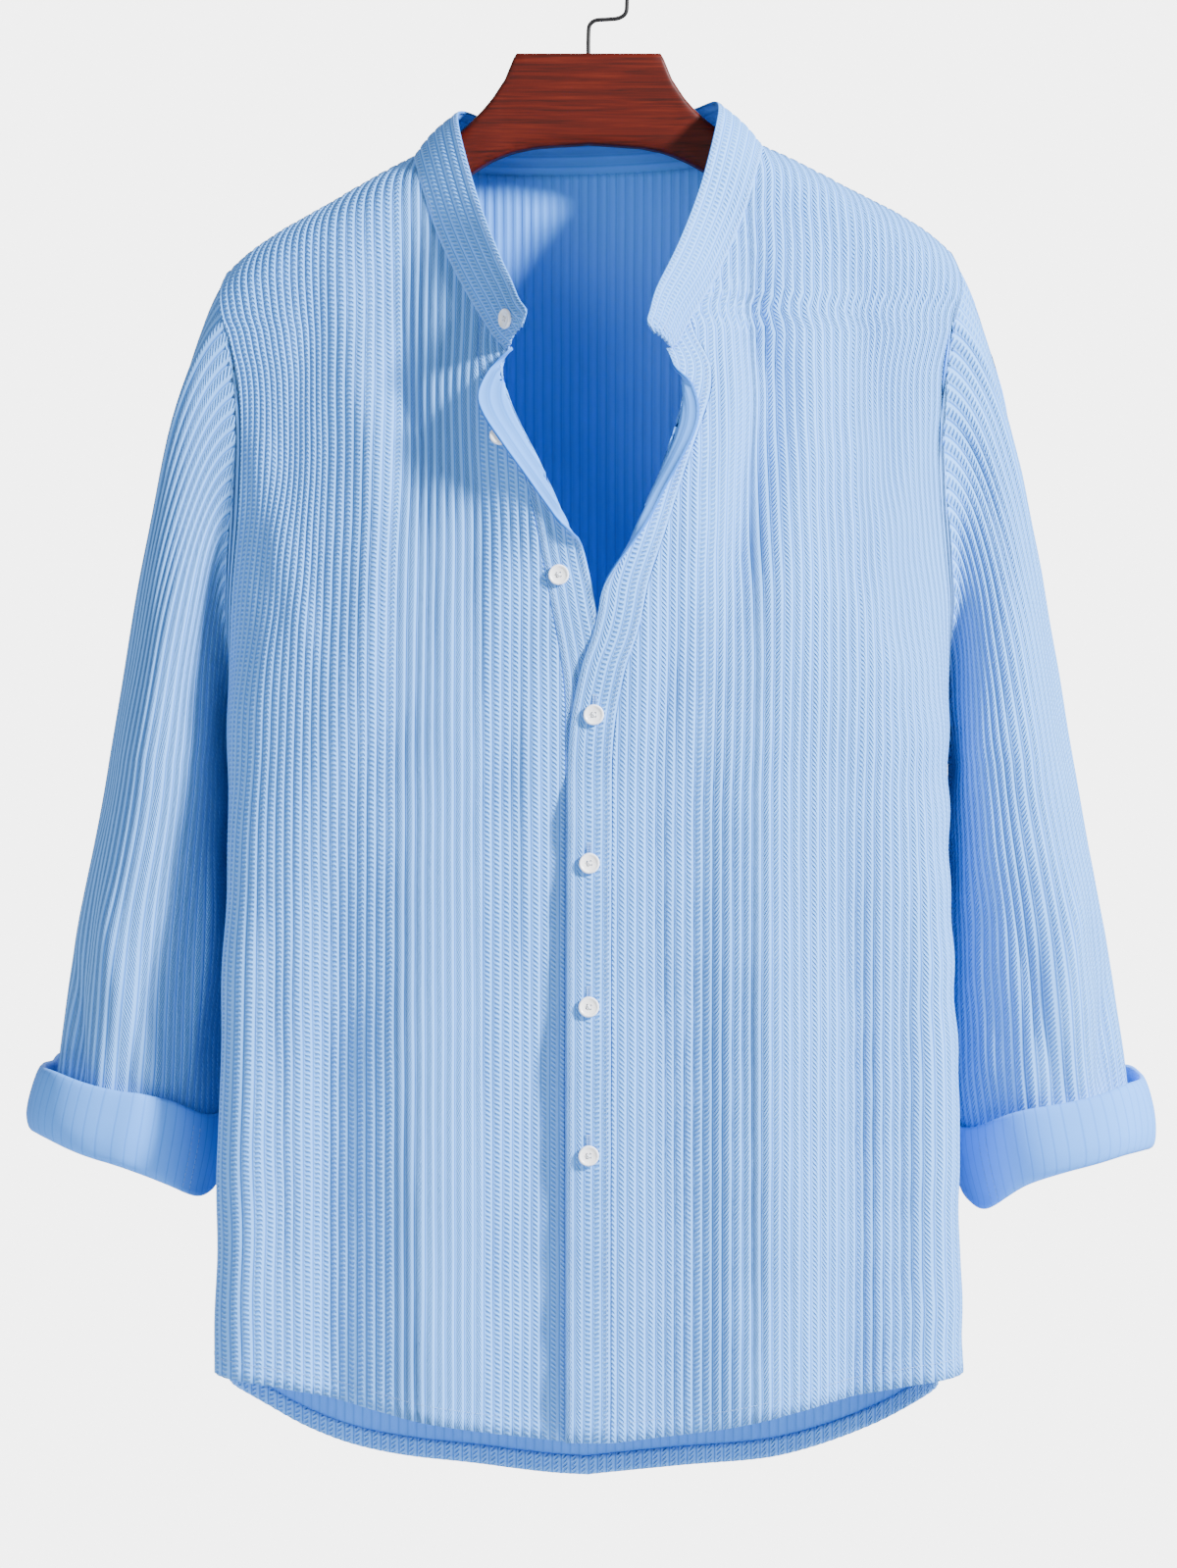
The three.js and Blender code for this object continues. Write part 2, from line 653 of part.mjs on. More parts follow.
const sleeveColumns = 108;
const bicepDown = 462;
const sleeveSquareness = 2.3;
const sleeveTwist = 0.11; // the back of each sleeve hangs nearer the body
const sleeveRows = {
  right: [
    { down: 400, outer: -262, inner: -208, front: -56, back: 52, tilt: 0.02 },
    { down: 462, outer: -271, inner: -207.5, front: -58, back: 54, tilt: 0.05 },
    { down: 530, outer: -282, inner: -207, front: -58, back: 54, tilt: 0.08 },
    { down: 585, outer: -291, inner: -207, front: -57, back: 53, tilt: 0.14 },
    { down: 632, outer: -297, inner: -210, front: -54, back: 51, tilt: 0.24 },
    { down: 655, outer: -300, inner: -212, front: -52, back: 50, tilt: 0.28 },
    { down: 690, outer: -308, inner: -218, front: -50, back: 48, tilt: 0.28 },
  ],
  left: [
    { down: 400, outer: 262, inner: 208, front: -56, back: 52, tilt: -0.02 },
    { down: 462, outer: 274, inner: 207.5, front: -58, back: 54, tilt: -0.05 },
    { down: 530, outer: 285, inner: 207.5, front: -58, back: 54, tilt: -0.08 },
    { down: 585, outer: 294, inner: 208, front: -57, back: 53, tilt: -0.14 },
    { down: 632, outer: 300, inner: 210.5, front: -54, back: 51, tilt: -0.24 },
    { down: 662, outer: 304, inner: 213, front: -52, back: 50, tilt: -0.28 },
    { down: 697, outer: 310, inner: 220, front: -50, back: 48, tilt: -0.28 },
  ],
};
const tubeDowns = { right: [462, 545, 620, 672], left: [462, 545, 625, 679] };

// A level ring of a sleeve; turn 0 is its outer side, 0.25 the front, 0.5 the side by the body.
function sleeveRing(side, down, turn, grow = 0) {
  const read = (key) => through(sleeveRows[side], "down", key)(down);
  const middle = (read("outer") + read("inner")) / 2;
  const half = (read("outer") - read("inner")) / 2;
  const c = Math.cos(2 * Math.PI * turn);
  const s = Math.sin(2 * Math.PI * turn);
  const power = 2 / sleeveSquareness;
  const reach = Math.sign(half) * (Math.abs(half) + grow * 0.7);
  const depth = (s > 0 ? -read("front") : read("back")) + grow;
  const x = reach * Math.sign(c) * Math.abs(c) ** power + Math.sign(half) * grow * 0.3;
  const y = -depth * Math.sign(s) * Math.abs(s) ** power;
  const turned = sleeveTwist * ease(bicepDown, bicepDown + 110, down) * Math.sign(half) * -y;
  return new THREE.Vector3(middle + x + turned, y, -down - read("tilt") * x);
}

const sleeveFolds = [
  { turn: 0.13, reach: 0.035, out: -4, from: 480, full: 610 },
  { turn: 0.22, reach: 0.05, out: 3, from: 480, full: 600 },
  { turn: 0.36, reach: 0.04, out: -3, from: 520, full: 620 },
  { turn: 0.68, reach: 0.05, out: -4, from: 460, full: 600 },
  { turn: 0.86, reach: 0.05, out: -4, from: 500, full: 610 },
];

// The armhole's edge, from the shoulder end down the front to the underarm and up the back,
// with the direction in which the cloth of the panel would run on past its edge.
function armholeLoop(side, count) {
  const edgeOf = (made, hand, reversed) => {
    const points = reversed ? [...made.points].reverse() : made.points;
    const normals = reversed ? [...made.normals].reverse() : made.normals;
    const cut = points.findIndex(([top]) => -top.z - shoulderDown(top.x) < 1);
    return points.slice(0, cut + 1).map(([at], i) => {
      const up = points[Math.min(cut, i + 1)][0].clone().sub(points[Math.max(0, i - 1)][0]);
      const out = normals[i][0].clone().multiplyScalar(made.side);
      return { at, out, away: up.cross(out).normalize().multiplyScalar(hand) };
    });
  };
  const ofFront = edgeOf(fronts[side], side === "right" ? -1 : 1, false);
  const ofBack = edgeOf(back, side === "right" ? 1 : -1, side === "left");
  const down = spread(ofFront.reverse(), count / 2);
  const up = spread(ofBack, count / 2);
  return soften([...down, ...up.slice(1, -1)], true, 1);
}

const sleeveStart = { away: 0.9, over: 2.9, tip: 1.8 }; // the sleeve's edge laps just over the armhole's
const capSteps = [0, 0.12, 0.45]; // places of the rows between the armhole and the upper arm
// How far each end of that curve keeps its direction.
const capPull = { leave: 0.42, leaveMore: 0.13, arrive: 0.6 };

function sleeveGrid(side) {
  const sign = side === "right" ? -1 : 1;
  const edge = armholeLoop(side, sleeveColumns);
  return edge.map(({ at, away, out: over }, i) => {
    const turn = i / sleeveColumns;
    const under = ease(0.3, 0.47, turn < 0.5 ? turn : 1 - turn);
    const tip = 1 - ease(0.06, 0.14, Math.min(turn, 1 - turn));
    const lift = over.clone().lerp(new THREE.Vector3(sign, 0, 0.2), tip).normalize();
    const start = at.clone().addScaledVector(away, sleeveStart.away);
    start.addScaledVector(lift, sleeveStart.over + sleeveStart.tip * tip);
    const stop = sleeveRing(side, bicepDown, turn);
    const span = start.distanceTo(stop);
    const swing = Math.sin(2 * Math.PI * turn);
    const mid = Math.abs(swing);
    const leave = new THREE.Vector3(
      sign * (0.5 + 0.5 * mid + 0.2 * under),
      -0.3 * swing,
      0.45 * mid + 0.35 * under - 0.9,
    );
    const arrive = new THREE.Vector3(sign * 0.17, 0, -1);
    leave.normalize().add(away).normalize().multiplyScalar(span * (capPull.leave + capPull.leaveMore * mid));
    arrive.normalize().multiplyScalar(span * capPull.arrive);
    const cap = capSteps.map((t) =>
      start
        .clone()
        .multiplyScalar(2 * t ** 3 - 3 * t ** 2 + 1)
        .addScaledVector(leave, t ** 3 - 2 * t ** 2 + t)
        .addScaledVector(stop, -2 * t ** 3 + 3 * t ** 2)
        .addScaledVector(arrive, t ** 3 - t ** 2),
    );
    const tube = tubeDowns[side].map((d) => {
      const out = sleeveFolds.reduce(
        (sum, f) => sum + f.out * ease(f.from, f.full, d) * bump(turn, f.turn, f.reach),
        0,
      );
      return sleeveRing(side, d, turn, out);
    });
    return [...cap, ...tube];
  });
}

for (const side of ["right", "left"]) {
  const out = side === "right" ? -1 : 1;
  piece("sleeve_" + side, wall(sleeveGrid(side), { loop: true, step: 3, side: out }), clothBlue);
}

// Turned-up ends: each a cuff of cloth that folds at the bottom and climbs outside the sleeve

const rollColumns = 20;
const rollRows = [
  { grow: 1.2, rise: -1.5 },
  { grow: 1.8, rise: -11 },
  { grow: 5, rise: -18 },
  { grow: 10, rise: -15 },
  { grow: 13, rise: 2 },
  { grow: 13, rise: 26 },
];
const rollDown = { right: 673.5, left: 680.5 };

for (const side of ["right", "left"]) {
  const grid = Array.from({ length: rollColumns }, (_, i) =>
    rollRows.map(({ grow, rise }) => sleeveRing(side, rollDown[side] - rise, i / rollColumns, grow)),
  );
  const out = side === "right" ? -1 : 1;
  piece("sleeve_end_" + side, wall(grid, { loop: true, step: 1, valley: 2, rib: 0, side: out }), reverseBlue);
}

// Buttons: flat discs with a raised rim

const button = { radius: 6, thick: 2.2, rim: 1.1, dish: 0.5, off: 0.5 };
const buttonProfile = [
  [0, 0],
  [button.radius - 0.6, 0],
  [button.radius, 0.7],
  [button.radius - 0.2, button.thick - 0.3],
  [button.radius - 0.7, button.thick],
  [button.radius - button.rim - 0.4, button.thick - button.dish],
  [0, button.thick - button.dish],
].map(([r, h]) => new THREE.Vector2(r, h));

// A button on the outer face of a wall, from a point of its inner face and the direction out of it.
function addButton(name, at, outward) {
  const mesh = piece(name, new THREE.LatheGeometry(buttonProfile, 10), buttonWhite);
  mesh.quaternion.setFromUnitVectors(new THREE.Vector3(0, 1, 0), outward);
  mesh.position.copy(at).addScaledVector(outward, cloth.valley + cloth.placketRib + button.off);
}

function placketButton(name, side, across, down) {
  const strip = placketStrip(side, down);
  const i = Math.round(across * placketColumns);
  const below = placketStrip(side, down + 5)[i];
  const flat = strip[Math.min(placketColumns, i + 1)].clone().sub(strip[i - 1]);
  const outward = flat.cross(below.sub(strip[i])).normalize();
  addButton(name, strip[i], side === "right" ? outward.negate() : outward);
}

const collarButton = { up: 5, round: 1 };
const collarNormals = normalsOf(collar, false);
const collarPlace = (grid) => grid[collarButton.up][collarButton.round];
addButton("button_1", collarPlace(collar), collarPlace(collarNormals));
const placketButtons = [
  { side: "right", across: 0.9, down: 281 },
  { side: "right", across: 0.3, down: 359 },
  { side: "left", across: 0.5, down: 436.5 },
  { side: "left", across: 0.5, down: 518.4 },
  { side: "left", across: 0.5, down: 597.6 },
  { side: "left", across: 0.5, down: 679.6 },
];
placketButtons.forEach(({ side, across, down }, k) => placketButton("button_" + (k + 2), side, across, down));

// Hanger: a shaped wooden bar, from rounded sections along X, and a bent wire hook in a bore

const hangerRows = [
  { out: 0, top: 56.6, bottom: 108.4, thick: 16, square: 7 },
  { out: 30, top: 56.6, bottom: 110.5, thick: 16, square: 7 },
  { out: 41, top: 56.6, bottom: 112.8, thick: 16, square: 7 },
  { out: 42.8, top: 59.5, bottom: 113.3, thick: 16, square: 7 },
  { out: 47.7, top: 71.5, bottom: 115, thick: 16, square: 7 },
  { out: 54.3, top: 81.5, bottom: 117.8, thick: 16.5, square: 6 },
  { out: 64, top: 92.3, bottom: 123.4, thick: 17, square: 5 },
  { out: 77, top: 102.8, bottom: 132.3, thick: 19, square: 3 },
  { out: 98, top: 115, bottom: 147, thick: 22, square: 2.2 },
  { out: 130, top: 131.8, bottom: 165, thick: 27, square: 2 },
  { out: 160, top: 148, bottom: 181, thick: 30, square: 2 },
  { out: 185, top: 162.5, bottom: 193, thick: 29, square: 2 },
  { out: 197, top: 172.5, bottom: 197, thick: 24, square: 2 },
  { out: 203, top: 180, bottom: 195, thick: 12, square: 2 },
];
const ringPoints = 12;
const hangerClear = 1.3;

function hangerSolid() {
  const stations = [...hangerRows].reverse().map((row) => ({ ...row, x: -row.out }));
  stations.push(...hangerRows.slice(1).map((row) => ({ ...row, x: row.out })));
  const positions = [];
  const index = [];
  stations.forEach(({ x, top, bottom, thick, square }) => {
    const tilt = lean * x * ease(50, 98, Math.abs(x));
    for (let k = 0; k < ringPoints; k++) {
      const a = (2 * Math.PI * (k + 0.5)) / ringPoints;
      const c = Math.cos(a);
      const s = Math.sin(a);
      const y = (thick / 2) * Math.sign(c) * Math.abs(c) ** (2 / square);
      const z = ((bottom - top) / 2) * Math.sign(s) * Math.abs(s) ** (2 / square);
      positions.push(x, y, z - (top + bottom) / 2 - hangerClear + tilt);
    }
  });
  const at = (i, k) => i * ringPoints + (k % ringPoints);
  for (let i = 0; i < stations.length - 1; i++) {
    for (let k = 0; k < ringPoints; k++) {
      index.push(at(i, k), at(i, k + 1), at(i + 1, k + 1), at(i, k), at(i + 1, k + 1), at(i + 1, k));
    }
  }
  for (let k = 1; k < ringPoints - 1; k++) {
    index.push(at(0, 0), at(0, k + 1), at(0, k));
    index.push(at(stations.length - 1, 0), at(stations.length - 1, k), at(stations.length - 1, k + 1));
  }
  return solid(positions, index);
}

const hook = { wire: 2.4, radius: 22, boreDepth: 14, boreClear: 0.35, endTurn: 3.3 };
const hookCentreDown = hook.radius - hook.wire / 2;
const wasm = await Module();
wasm.setup();

function asManifold(geometry) {
  return new wasm.Manifold(
    new wasm.Mesh({
      numProp: 3,
      vertProperties: new Float32Array(geometry.attributes.position.array),
      triVerts: new Uint32Array(geometry.index.array),
    }),
  );
}

function prism(sides, radius, x, y, low, high) {
  const positions = [];
  const index = [];
  for (const z of [low, high]) {
    for (let k = 0; k < sides; k++) {
      const a = (2 * Math.PI * k) / sides;
      positions.push(x + radius * Math.cos(a), y + radius * Math.sin(a), z);
    }
  }
  for (let k = 0; k < sides; k++) {
    const next = (k + 1) % sides;
    index.push(k, next, sides + next, k, sides + next, sides + k);
    if (k > 0 && k < sides - 1) index.push(0, k + 1, k, sides, sides + k, sides + k + 1);
  }
  return solid(positions, index);
}

const woodTop = hangerRows[0].top + hangerClear;
const bore = prism(16, hook.wire / 2 + hook.boreClear, 0, 0, -woodTop - hook.boreDepth, -woodTop + 5);
const boredWood = asManifold(hangerSolid()).subtract(asManifold(bore)).getMesh();
const woodPositions = [];
for (let i = 0; i < boredWood.numVert; i++) {
  woodPositions.push(...boredWood.vertProperties.subarray(i * boredWood.numProp, i * boredWood.numProp + 3));
}
piece("hanger_wood", solid(woodPositions, [...boredWood.triVerts]), mahogany);

const hookPoints = [
  [0, woodTop + hook.boreDepth - seamGap],
  [0, 46],
  [0.8, 41],
  [4, 38.6],
  [11, 38],
  [17.5, 37.2],
  [21.2, 34.4],
  [hook.radius, 28],
].map(([x, down]) => new THREE.Vector3(x, 0, -down));
for (let k = 0; k <= 14; k++) {
  const a = (hook.endTurn * k) / 14;
  const [x, z] = [hook.radius * Math.cos(a), hook.radius * Math.sin(a) - hookCentreDown];
  hookPoints.push(new THREE.Vector3(x, 0, z));
}
const wireShape = new THREE.Shape(
  Array.from({ length: 6 }, (_, k) => {
    const a = (2 * Math.PI * k) / 6;
    return new THREE.Vector2((hook.wire / 2) * Math.cos(a), (hook.wire / 2) * Math.sin(a));
  }),
);
const hookPath = new THREE.CatmullRomCurve3(hookPoints, false, "centripetal");
piece("hanger_hook", new THREE.ExtrudeGeometry(wireShape, { steps: 38, extrudePath: hookPath }), blackWire);

export default shirt;
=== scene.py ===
import math
import bpy
import bmesh
import numpy as np
from mathutils import Matrix, Vector


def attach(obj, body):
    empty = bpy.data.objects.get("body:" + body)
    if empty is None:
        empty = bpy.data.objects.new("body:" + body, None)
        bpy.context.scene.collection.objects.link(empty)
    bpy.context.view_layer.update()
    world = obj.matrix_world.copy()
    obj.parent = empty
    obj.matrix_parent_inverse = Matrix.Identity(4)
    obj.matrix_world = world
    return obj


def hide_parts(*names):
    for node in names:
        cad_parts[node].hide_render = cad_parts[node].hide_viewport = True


# Mandarin collar shirt in ribbed crinkle cotton, hung open-necked on a mahogany hanger.
# Lengths in the tables are millimetres; "down" is the distance below the rod, +X the wearer's left.
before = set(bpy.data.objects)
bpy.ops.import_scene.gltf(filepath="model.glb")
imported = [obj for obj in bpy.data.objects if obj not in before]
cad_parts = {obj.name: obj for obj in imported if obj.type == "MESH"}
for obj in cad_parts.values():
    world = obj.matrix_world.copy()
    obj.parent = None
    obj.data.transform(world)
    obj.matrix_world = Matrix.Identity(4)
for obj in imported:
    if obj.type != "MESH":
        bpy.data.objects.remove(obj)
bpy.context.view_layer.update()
print("frame loaded:", len(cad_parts), "nodes")

millimetre = 0.001
seamGap = 0.3
sides = {"right": -1, "left": 1}  # the wearer's, and which way X goes there

# Small helpers


def ease(low, high, x):
    t = np.clip((np.asarray(x, float) - low) / (high - low), 0, 1)
    return t * t * (3 - 2 * t)


def bump(x, at, reach):
    return np.exp(-(((x - at) / reach) ** 2))


def through(rows, column=1):  # a smooth curve through one column of a table, level beyond its ends
    table = np.array(rows, float)
    x, y = table[:, 0], table[:, column]
    order = np.arange(len(x))
    before, after = np.maximum(order - 1, 0), np.minimum(order + 1, len(x) - 1)
    slope = (y[after] - y[before]) / (x[after] - x[before])

    def read(value):
        v = np.clip(value, x[0], x[-1])
        i = np.clip(np.searchsorted(x, v) - 1, 0, len(x) - 2)
        h = x[i + 1] - x[i]
        t = (v - x[i]) / h
        rise = (y[i + 1] - y[i]) * t * t * (3 - 2 * t)
        return y[i] + rise + t * (1 - t) ** 2 * h * slope[i] + t * t * (t - 1) * h * slope[i + 1]

    return read


def unit(v):
    return v / np.maximum(np.linalg.norm(v, axis=-1, keepdims=True), 1e-9)


def runOf(path):  # length so far along a list of places
    return np.concatenate([[0], np.cumsum(np.linalg.norm(np.diff(path, axis=0), axis=1))])


def ripple(a, b, seed, amount, sizes):  # uneven low relief, the same on every run
    rng = np.random.default_rng(seed)
    total = np.zeros(np.broadcast(a, b).shape)
    for size in sizes:
        for _ in range(3):
            turn, phase = rng.uniform(0, math.tau, 2)
            stretch = rng.uniform(0.8, 1.25)
            total += np.sin((a * math.cos(turn) + b * math.sin(turn)) * math.tau / (size * stretch) + phase)
    return amount * total / (3 * len(sizes)) ** 0.5


# The hollow form that the cloth hangs in

body = dict(armRound=26, armRoll=9, fillDrop=320, lean=0.03, block=442)
# down, half width, front depth, back depth
bodyRows = [
    (100, 251, 92, 80), (185, 249, 92, 84), (200, 245, 92, 84), (214, 239, 92, 85), (230, 231, 92, 85),
    (240, 225.5, 92, 85), (262, 219, 93, 86), (290, 213, 95, 86), (330, 208.5, 96, 87), (420, 206.5, 98, 88),
    (530, 204.5, 98, 88), (670, 205.5, 96, 87), (805, 207, 94, 86), (900, 207.5, 94, 86),
]
shoulderRows = [
    (0, 68), (60, 94), (98, 114), (120, 125), (150, 141.5), (175, 155), (193, 167), (206, 179), (217, 193),
    (224, 206),
]
neckOut = 98
frontNeckRows = [(30, 235), (42, 230), (56, 214), (70, 191), (84, 161), (92, 137), (98, 114)]
backNeckRows = [(0, 123), (40, 122.5), (75, 120), (98, 114)]
armholeRows = [(0, 425), (8, 420), (16, 403), (23, 372), (28, 320), (31, 270), (33, 234), (35, 213)]
armholeCut = 36
hemRows = {
    "front": [(0, 796), (0.12, 797), (0.25, 801), (0.35, 806), (0.55, 817), (0.78, 831), (1, 839)],
    "back": [(0, 796), (0.12, 807), (0.25, 827), (0.39, 851), (0.57, 867), (0.81, 876), (1, 880)],
}
# exponent of the rounded section, seen from above: the lower part hangs flatter, with sharper sides
squareness = through([(250, 2.8), (330, 3.4), (442, 4.8), (670, 6.6), (900, 6.6)])
bodyHalf = through(bodyRows, 1)
bodyDepth = {"front": through(bodyRows, 2), "back": through(bodyRows, 3)}
shoulderMean = through(shoulderRows)
neckMean = {"front": through(frontNeckRows), "back": through(backNeckRows)}
armholeDown = through(armholeRows)
hemDown = {face: through(rows) for face, rows in hemRows.items()}

# Folds: where across the panel, how wide, how far out, and the drop over which each grows and ends
folds = {
    "right": [
        (0.29, 0.06, 9, 430, 660, 2000), (0.475, 0.055, -9, 430, 670, 2000), (0.64, 0.08, 9, 400, 670, 2000),
        (0.87, 0.08, -6, 430, 670, 2000), (0.66, 0.07, -3, 140, 260, 430), (0.54, 0.08, 3, 150, 260, 460),
        (0.96, 0.16, 17, 150, 270, 372),
    ],
    "left": [
        (0.29, 0.06, 9, 430, 660, 2000), (0.46, 0.05, -8, 400, 660, 2000), (0.64, 0.1, 12, 380, 660, 2000),
        (0.72, 0.065, -5, 140, 250, 430), (0.59, 0.07, 4, 140, 250, 430), (0.97, 0.16, 14, 140, 260, 372),
    ],
    "back": [
        (0.14, 0.05, 6, 330, 700, 2000), (0.24, 0.05, -7, 330, 720, 2000), (0.36, 0.05, 7, 260, 640, 2000),
        (0.47, 0.04, -6, 420, 760, 2000), (0.58, 0.055, 7, 300, 700, 2000), (0.7, 0.05, -8, 280, 680, 2000),
        (0.82, 0.05, 7, 330, 720, 2000), (0.9, 0.03, -4, 380, 760, 2000),
    ],
}
foldFade = 90  # drop over which a fold ends
sidePinch = dict(out=-11, reach=50, start=330, full=480, hold=700, end=800)

# Creases that the cloth shows between the large folds: x and down at each end, half width, how far out
creases = {
    "right": [
        (-100, 150, -112, 440, 9, -2.2), (-92, 190, -78, 420, 8, 1.6), (-150, 175, -176, 330, 10, -1.8),
        (-196, 240, -150, 420, 9, 1.8), (-60, 250, -66, 470, 9, -1.8), (-188, 420, -120, 330, 12, 1.5),
        (-176, 520, -168, 800, 9, -2.0), (-140, 560, -136, 820, 8, 1.6), (-62, 520, -54, 830, 8, -1.6),
        (-30, 400, -34, 600, 7, 1.4), (-96, 640, -88, 836, 7, 1.5),
    ],
    "left": [
        (96, 150, 84, 400, 9, -2.2), (80, 190, 66, 430, 8, 1.6), (150, 170, 172, 330, 10, -1.8),
        (196, 235, 146, 410, 9, 1.8), (48, 260, 40, 480, 8, -1.8), (184, 430, 110, 340, 12, 1.5),
        (176, 520, 170, 800, 9, -1.8), (138, 560, 142, 820, 8, 1.7), (84, 500, 92, 830, 8, -1.8),
        (44, 420, 50, 640, 7, 1.4), (112, 660, 120, 836, 7, 1.5),
    ],
    "back": [
        (-120, 180, -150, 520, 12, -2.4), (120, 180, 146, 540, 12, -2.2), (-60, 150, -44, 460, 12, 1.8),
        (66, 150, 50, 480, 11, 1.8), (0, 160, 6, 520, 13, -1.8), (-188, 430, -110, 320, 13, 1.8),
        (186, 430, 112, 330, 13, 1.8), (-168, 540, -172, 800, 9, -2.0), (30, 520, 24, 860, 9, -1.8),
        (-20, 560, -26, 860, 8, 1.6), (168, 560, 166, 800, 9, 1.8), (98, 620, 104, 850, 8, -1.6),
    ],
}

downTable = np.arange(60.0, 901.0)
runSamples = 721


def shoulderDown(x):
    return shoulderMean(np.abs(x)) - body["lean"] * x


def neckDown(face, x):
    return neckMean[face](np.abs(x)) - body["lean"] * x


def depthAt(face, x, down):
    power = squareness(down)
    roundOff = (1 - np.minimum(1, np.abs(x) / bodyHalf(down)) ** power) ** (1 / power)
    drop = np.maximum(0, down - shoulderDown(x))
    overArm = body["armRound"] * (1 - np.exp(-drop / body["armRoll"]))
    filled = (bodyDepth[face](down) - body["armRound"]) * ease(0, body["fillDrop"], drop)
    return roundOff * (overArm + filled)


def sectionsOf(face):  # level sections of one face at every millimetre down, evened out along their length
    turn = np.cos(np.pi * np.arange(181) / 180)[None]
    down = downTable[:, None]
    x = -bodyHalf(down) * np.sign(turn) * np.abs(turn) ** (2 / squareness(down))
    y = (-1 if face == "front" else 1) * (seamGap / 2 + depthAt(face, x, down))
    steps = np.hypot(np.diff(x, axis=1), np.diff(y, axis=1))
    run = np.concatenate([np.zeros((len(downTable), 1)), np.cumsum(steps, axis=1)], axis=1)
    length = run[:, -1]
    even = np.linspace(0, 1, runSamples)

    def evened(part):
        return np.array([np.interp(even * total, *level) for total, *level in zip(length, run, part)])

    evenX, evenY = evened(x), evened(y)
    return dict(x=evenX, y=evenY, length=length, rawX=x, rawRun=run)


sections = {face: sectionsOf(face) for face in ("front", "back")}


def rowOf(down):
    k = np.clip(np.asarray(down, float) - downTable[0], 0, len(downTable) - 1.001)
    row = k.astype(int)
    return row, k - row


def readRows(column, down):
    row, part = rowOf(down)
    return column[row] * (1 - part) + column[row + 1] * part


def surfaceAt(face, run, down):
    made = sections[face]
    row, part = rowOf(down)
    q = np.clip(run / readRows(made["length"], down), 0, 1) * (runSamples - 1)
    i = np.minimum(q.astype(int), runSamples - 2)
    t = q - i
    both = []
    for key in ("x", "y"):
        upper = made[key][row, i] * (1 - t) + made[key][row, i + 1] * t
        lower = made[key][row + 1, i] * (1 - t) + made[key][row + 1, i + 1] * t
        both.append(upper * (1 - part) + lower * part)
    return both


def foldOut(rows, across, down):
    total = 0
    for at, reach, out, start, full, end in rows:
        grown = ease(start, full, down) * (1 - ease(end - foldFade, end, down))
        total = total + out * grown * bump(across, at, reach)
    return total


def pinchOut(fromSide, down):
    p = sidePinch
    grown = ease(p["start"], p["full"], down) * (1 - ease(p["hold"], p["end"], down))
    return p["out"] * grown * bump(fromSide, 0, p["reach"])


def creaseOut(rows, x, down):
    total = 0
    for x1, d1, x2, d2, width, out in rows:
        dx, dd = x2 - x1, d2 - d1
        t = ((x - x1) * dx + (down - d1) * dd) / (dx * dx + dd * dd)
        near = np.clip(t, 0, 1)
        gap = np.hypot(x - x1 - near * dx, down - d1 - near * dd)
        total = total + out * np.exp(-((gap / width) ** 2)) * ease(-0.02, 0.3, t) * (1 - ease(0.75, 1.02, t))
    return total


# Fronts: the crease of the opening, the flap of each placket, and the cloth between

placket = dict(width=25, bend=3.0, turnRight=2.8, turnLeft=2.4)
# down, x of the crease, width turned over there, how far the strip's seam follows the crease
creaseRows = {
    "right": [
        (100, -26, 0, 0), (200, -34, 0, 1), (228, -38.5, 0, 4), (246, -41.5, 12, 9), (262, -37, 21, 13),
        (287, -26, 18.5, 13), (301, -19.5, 15.5, 11), (314, -14, 12, 8), (330, -8, 7, 5), (347, -2.5, 1.5, 2),
        (372, 3.8, 0, 0), (400, 9, 0, 0), (430, 12, 0, 0), (900, 12, 0, 0),
    ],
    "left": [
        (100, 24, 0, 0), (200, 28, 0, 0), (222, 33, 0, 1), (240, 43, 2, 3), (256, 46, 10, 6),
        (272, 43.5, 15, 8), (293, 37.5, 13, 9), (314, 29.5, 10, 7), (340, 18.5, 6.5, 4), (362, 10, 3.5, 2),
        (378, 5, 0, 0), (393, 1.6, 0, 0), (410, -4.4, 0, 0), (442, -10.4, 0, 0), (475, -12, 0, 0),
        (900, -13, 0, 0),
    ],
}
creaseX, flapWidth, seamShift = (
    {side: through(rows, k) for side, rows in creaseRows.items()} for k in (1, 2, 3))
overlap = dict(out=2.9, reach=55, blend=25)


def runAtX(made, wanted):  # at every level, the length of section up to this x
    return np.array([np.interp(x, *raw) for x, *raw in zip(wanted, made["rawX"], made["rawRun"])])


def creaseRunTable(side):
    made = sections["front"]
    run = runAtX(made, creaseX[side](downTable))
    return run if side == "right" else made["length"] - run


creaseRun = {side: creaseRunTable(side) for side in sides}


def seamRun(side, down):
    return readRows(creaseRun[side], down) - placket["width"] + seamShift[side](down)


def settled(x, down):  # the ripples start at the shoulder and are full 60 mm below it
    return ease(0, 60, down - shoulderDown(x))


def frontPoint(side, run, down):
    length = readRows(sections["front"]["length"], down)
    flip = 1 if side == "right" else -1

    def at(r):
        return surfaceAt("front", r if side == "right" else length - r, down)

    x, y = at(run)
    (xa, ya), (xb, yb) = at(run - 2), at(run + 2)
    size = np.hypot(xb - xa, yb - ya)
    edge = readRows(creaseRun[side], down)
    out = foldOut(folds[side], run / edge, down) + pinchOut(run, down) + creaseOut(creases[side], x, down)
    out = out + ripple(x, down, 11 if side == "right" else 12, 0.8, (45, 80)) * settled(x, down)
    if side == "left":
        out = out + overlap["out"] * ease(-overlap["reach"], -overlap["reach"] + overlap["blend"], run - edge)
    out = out * flip / size
    return np.stack([x + out * (yb - ya), y - out * (xb - xa), -down + 0 * x], axis=-1)


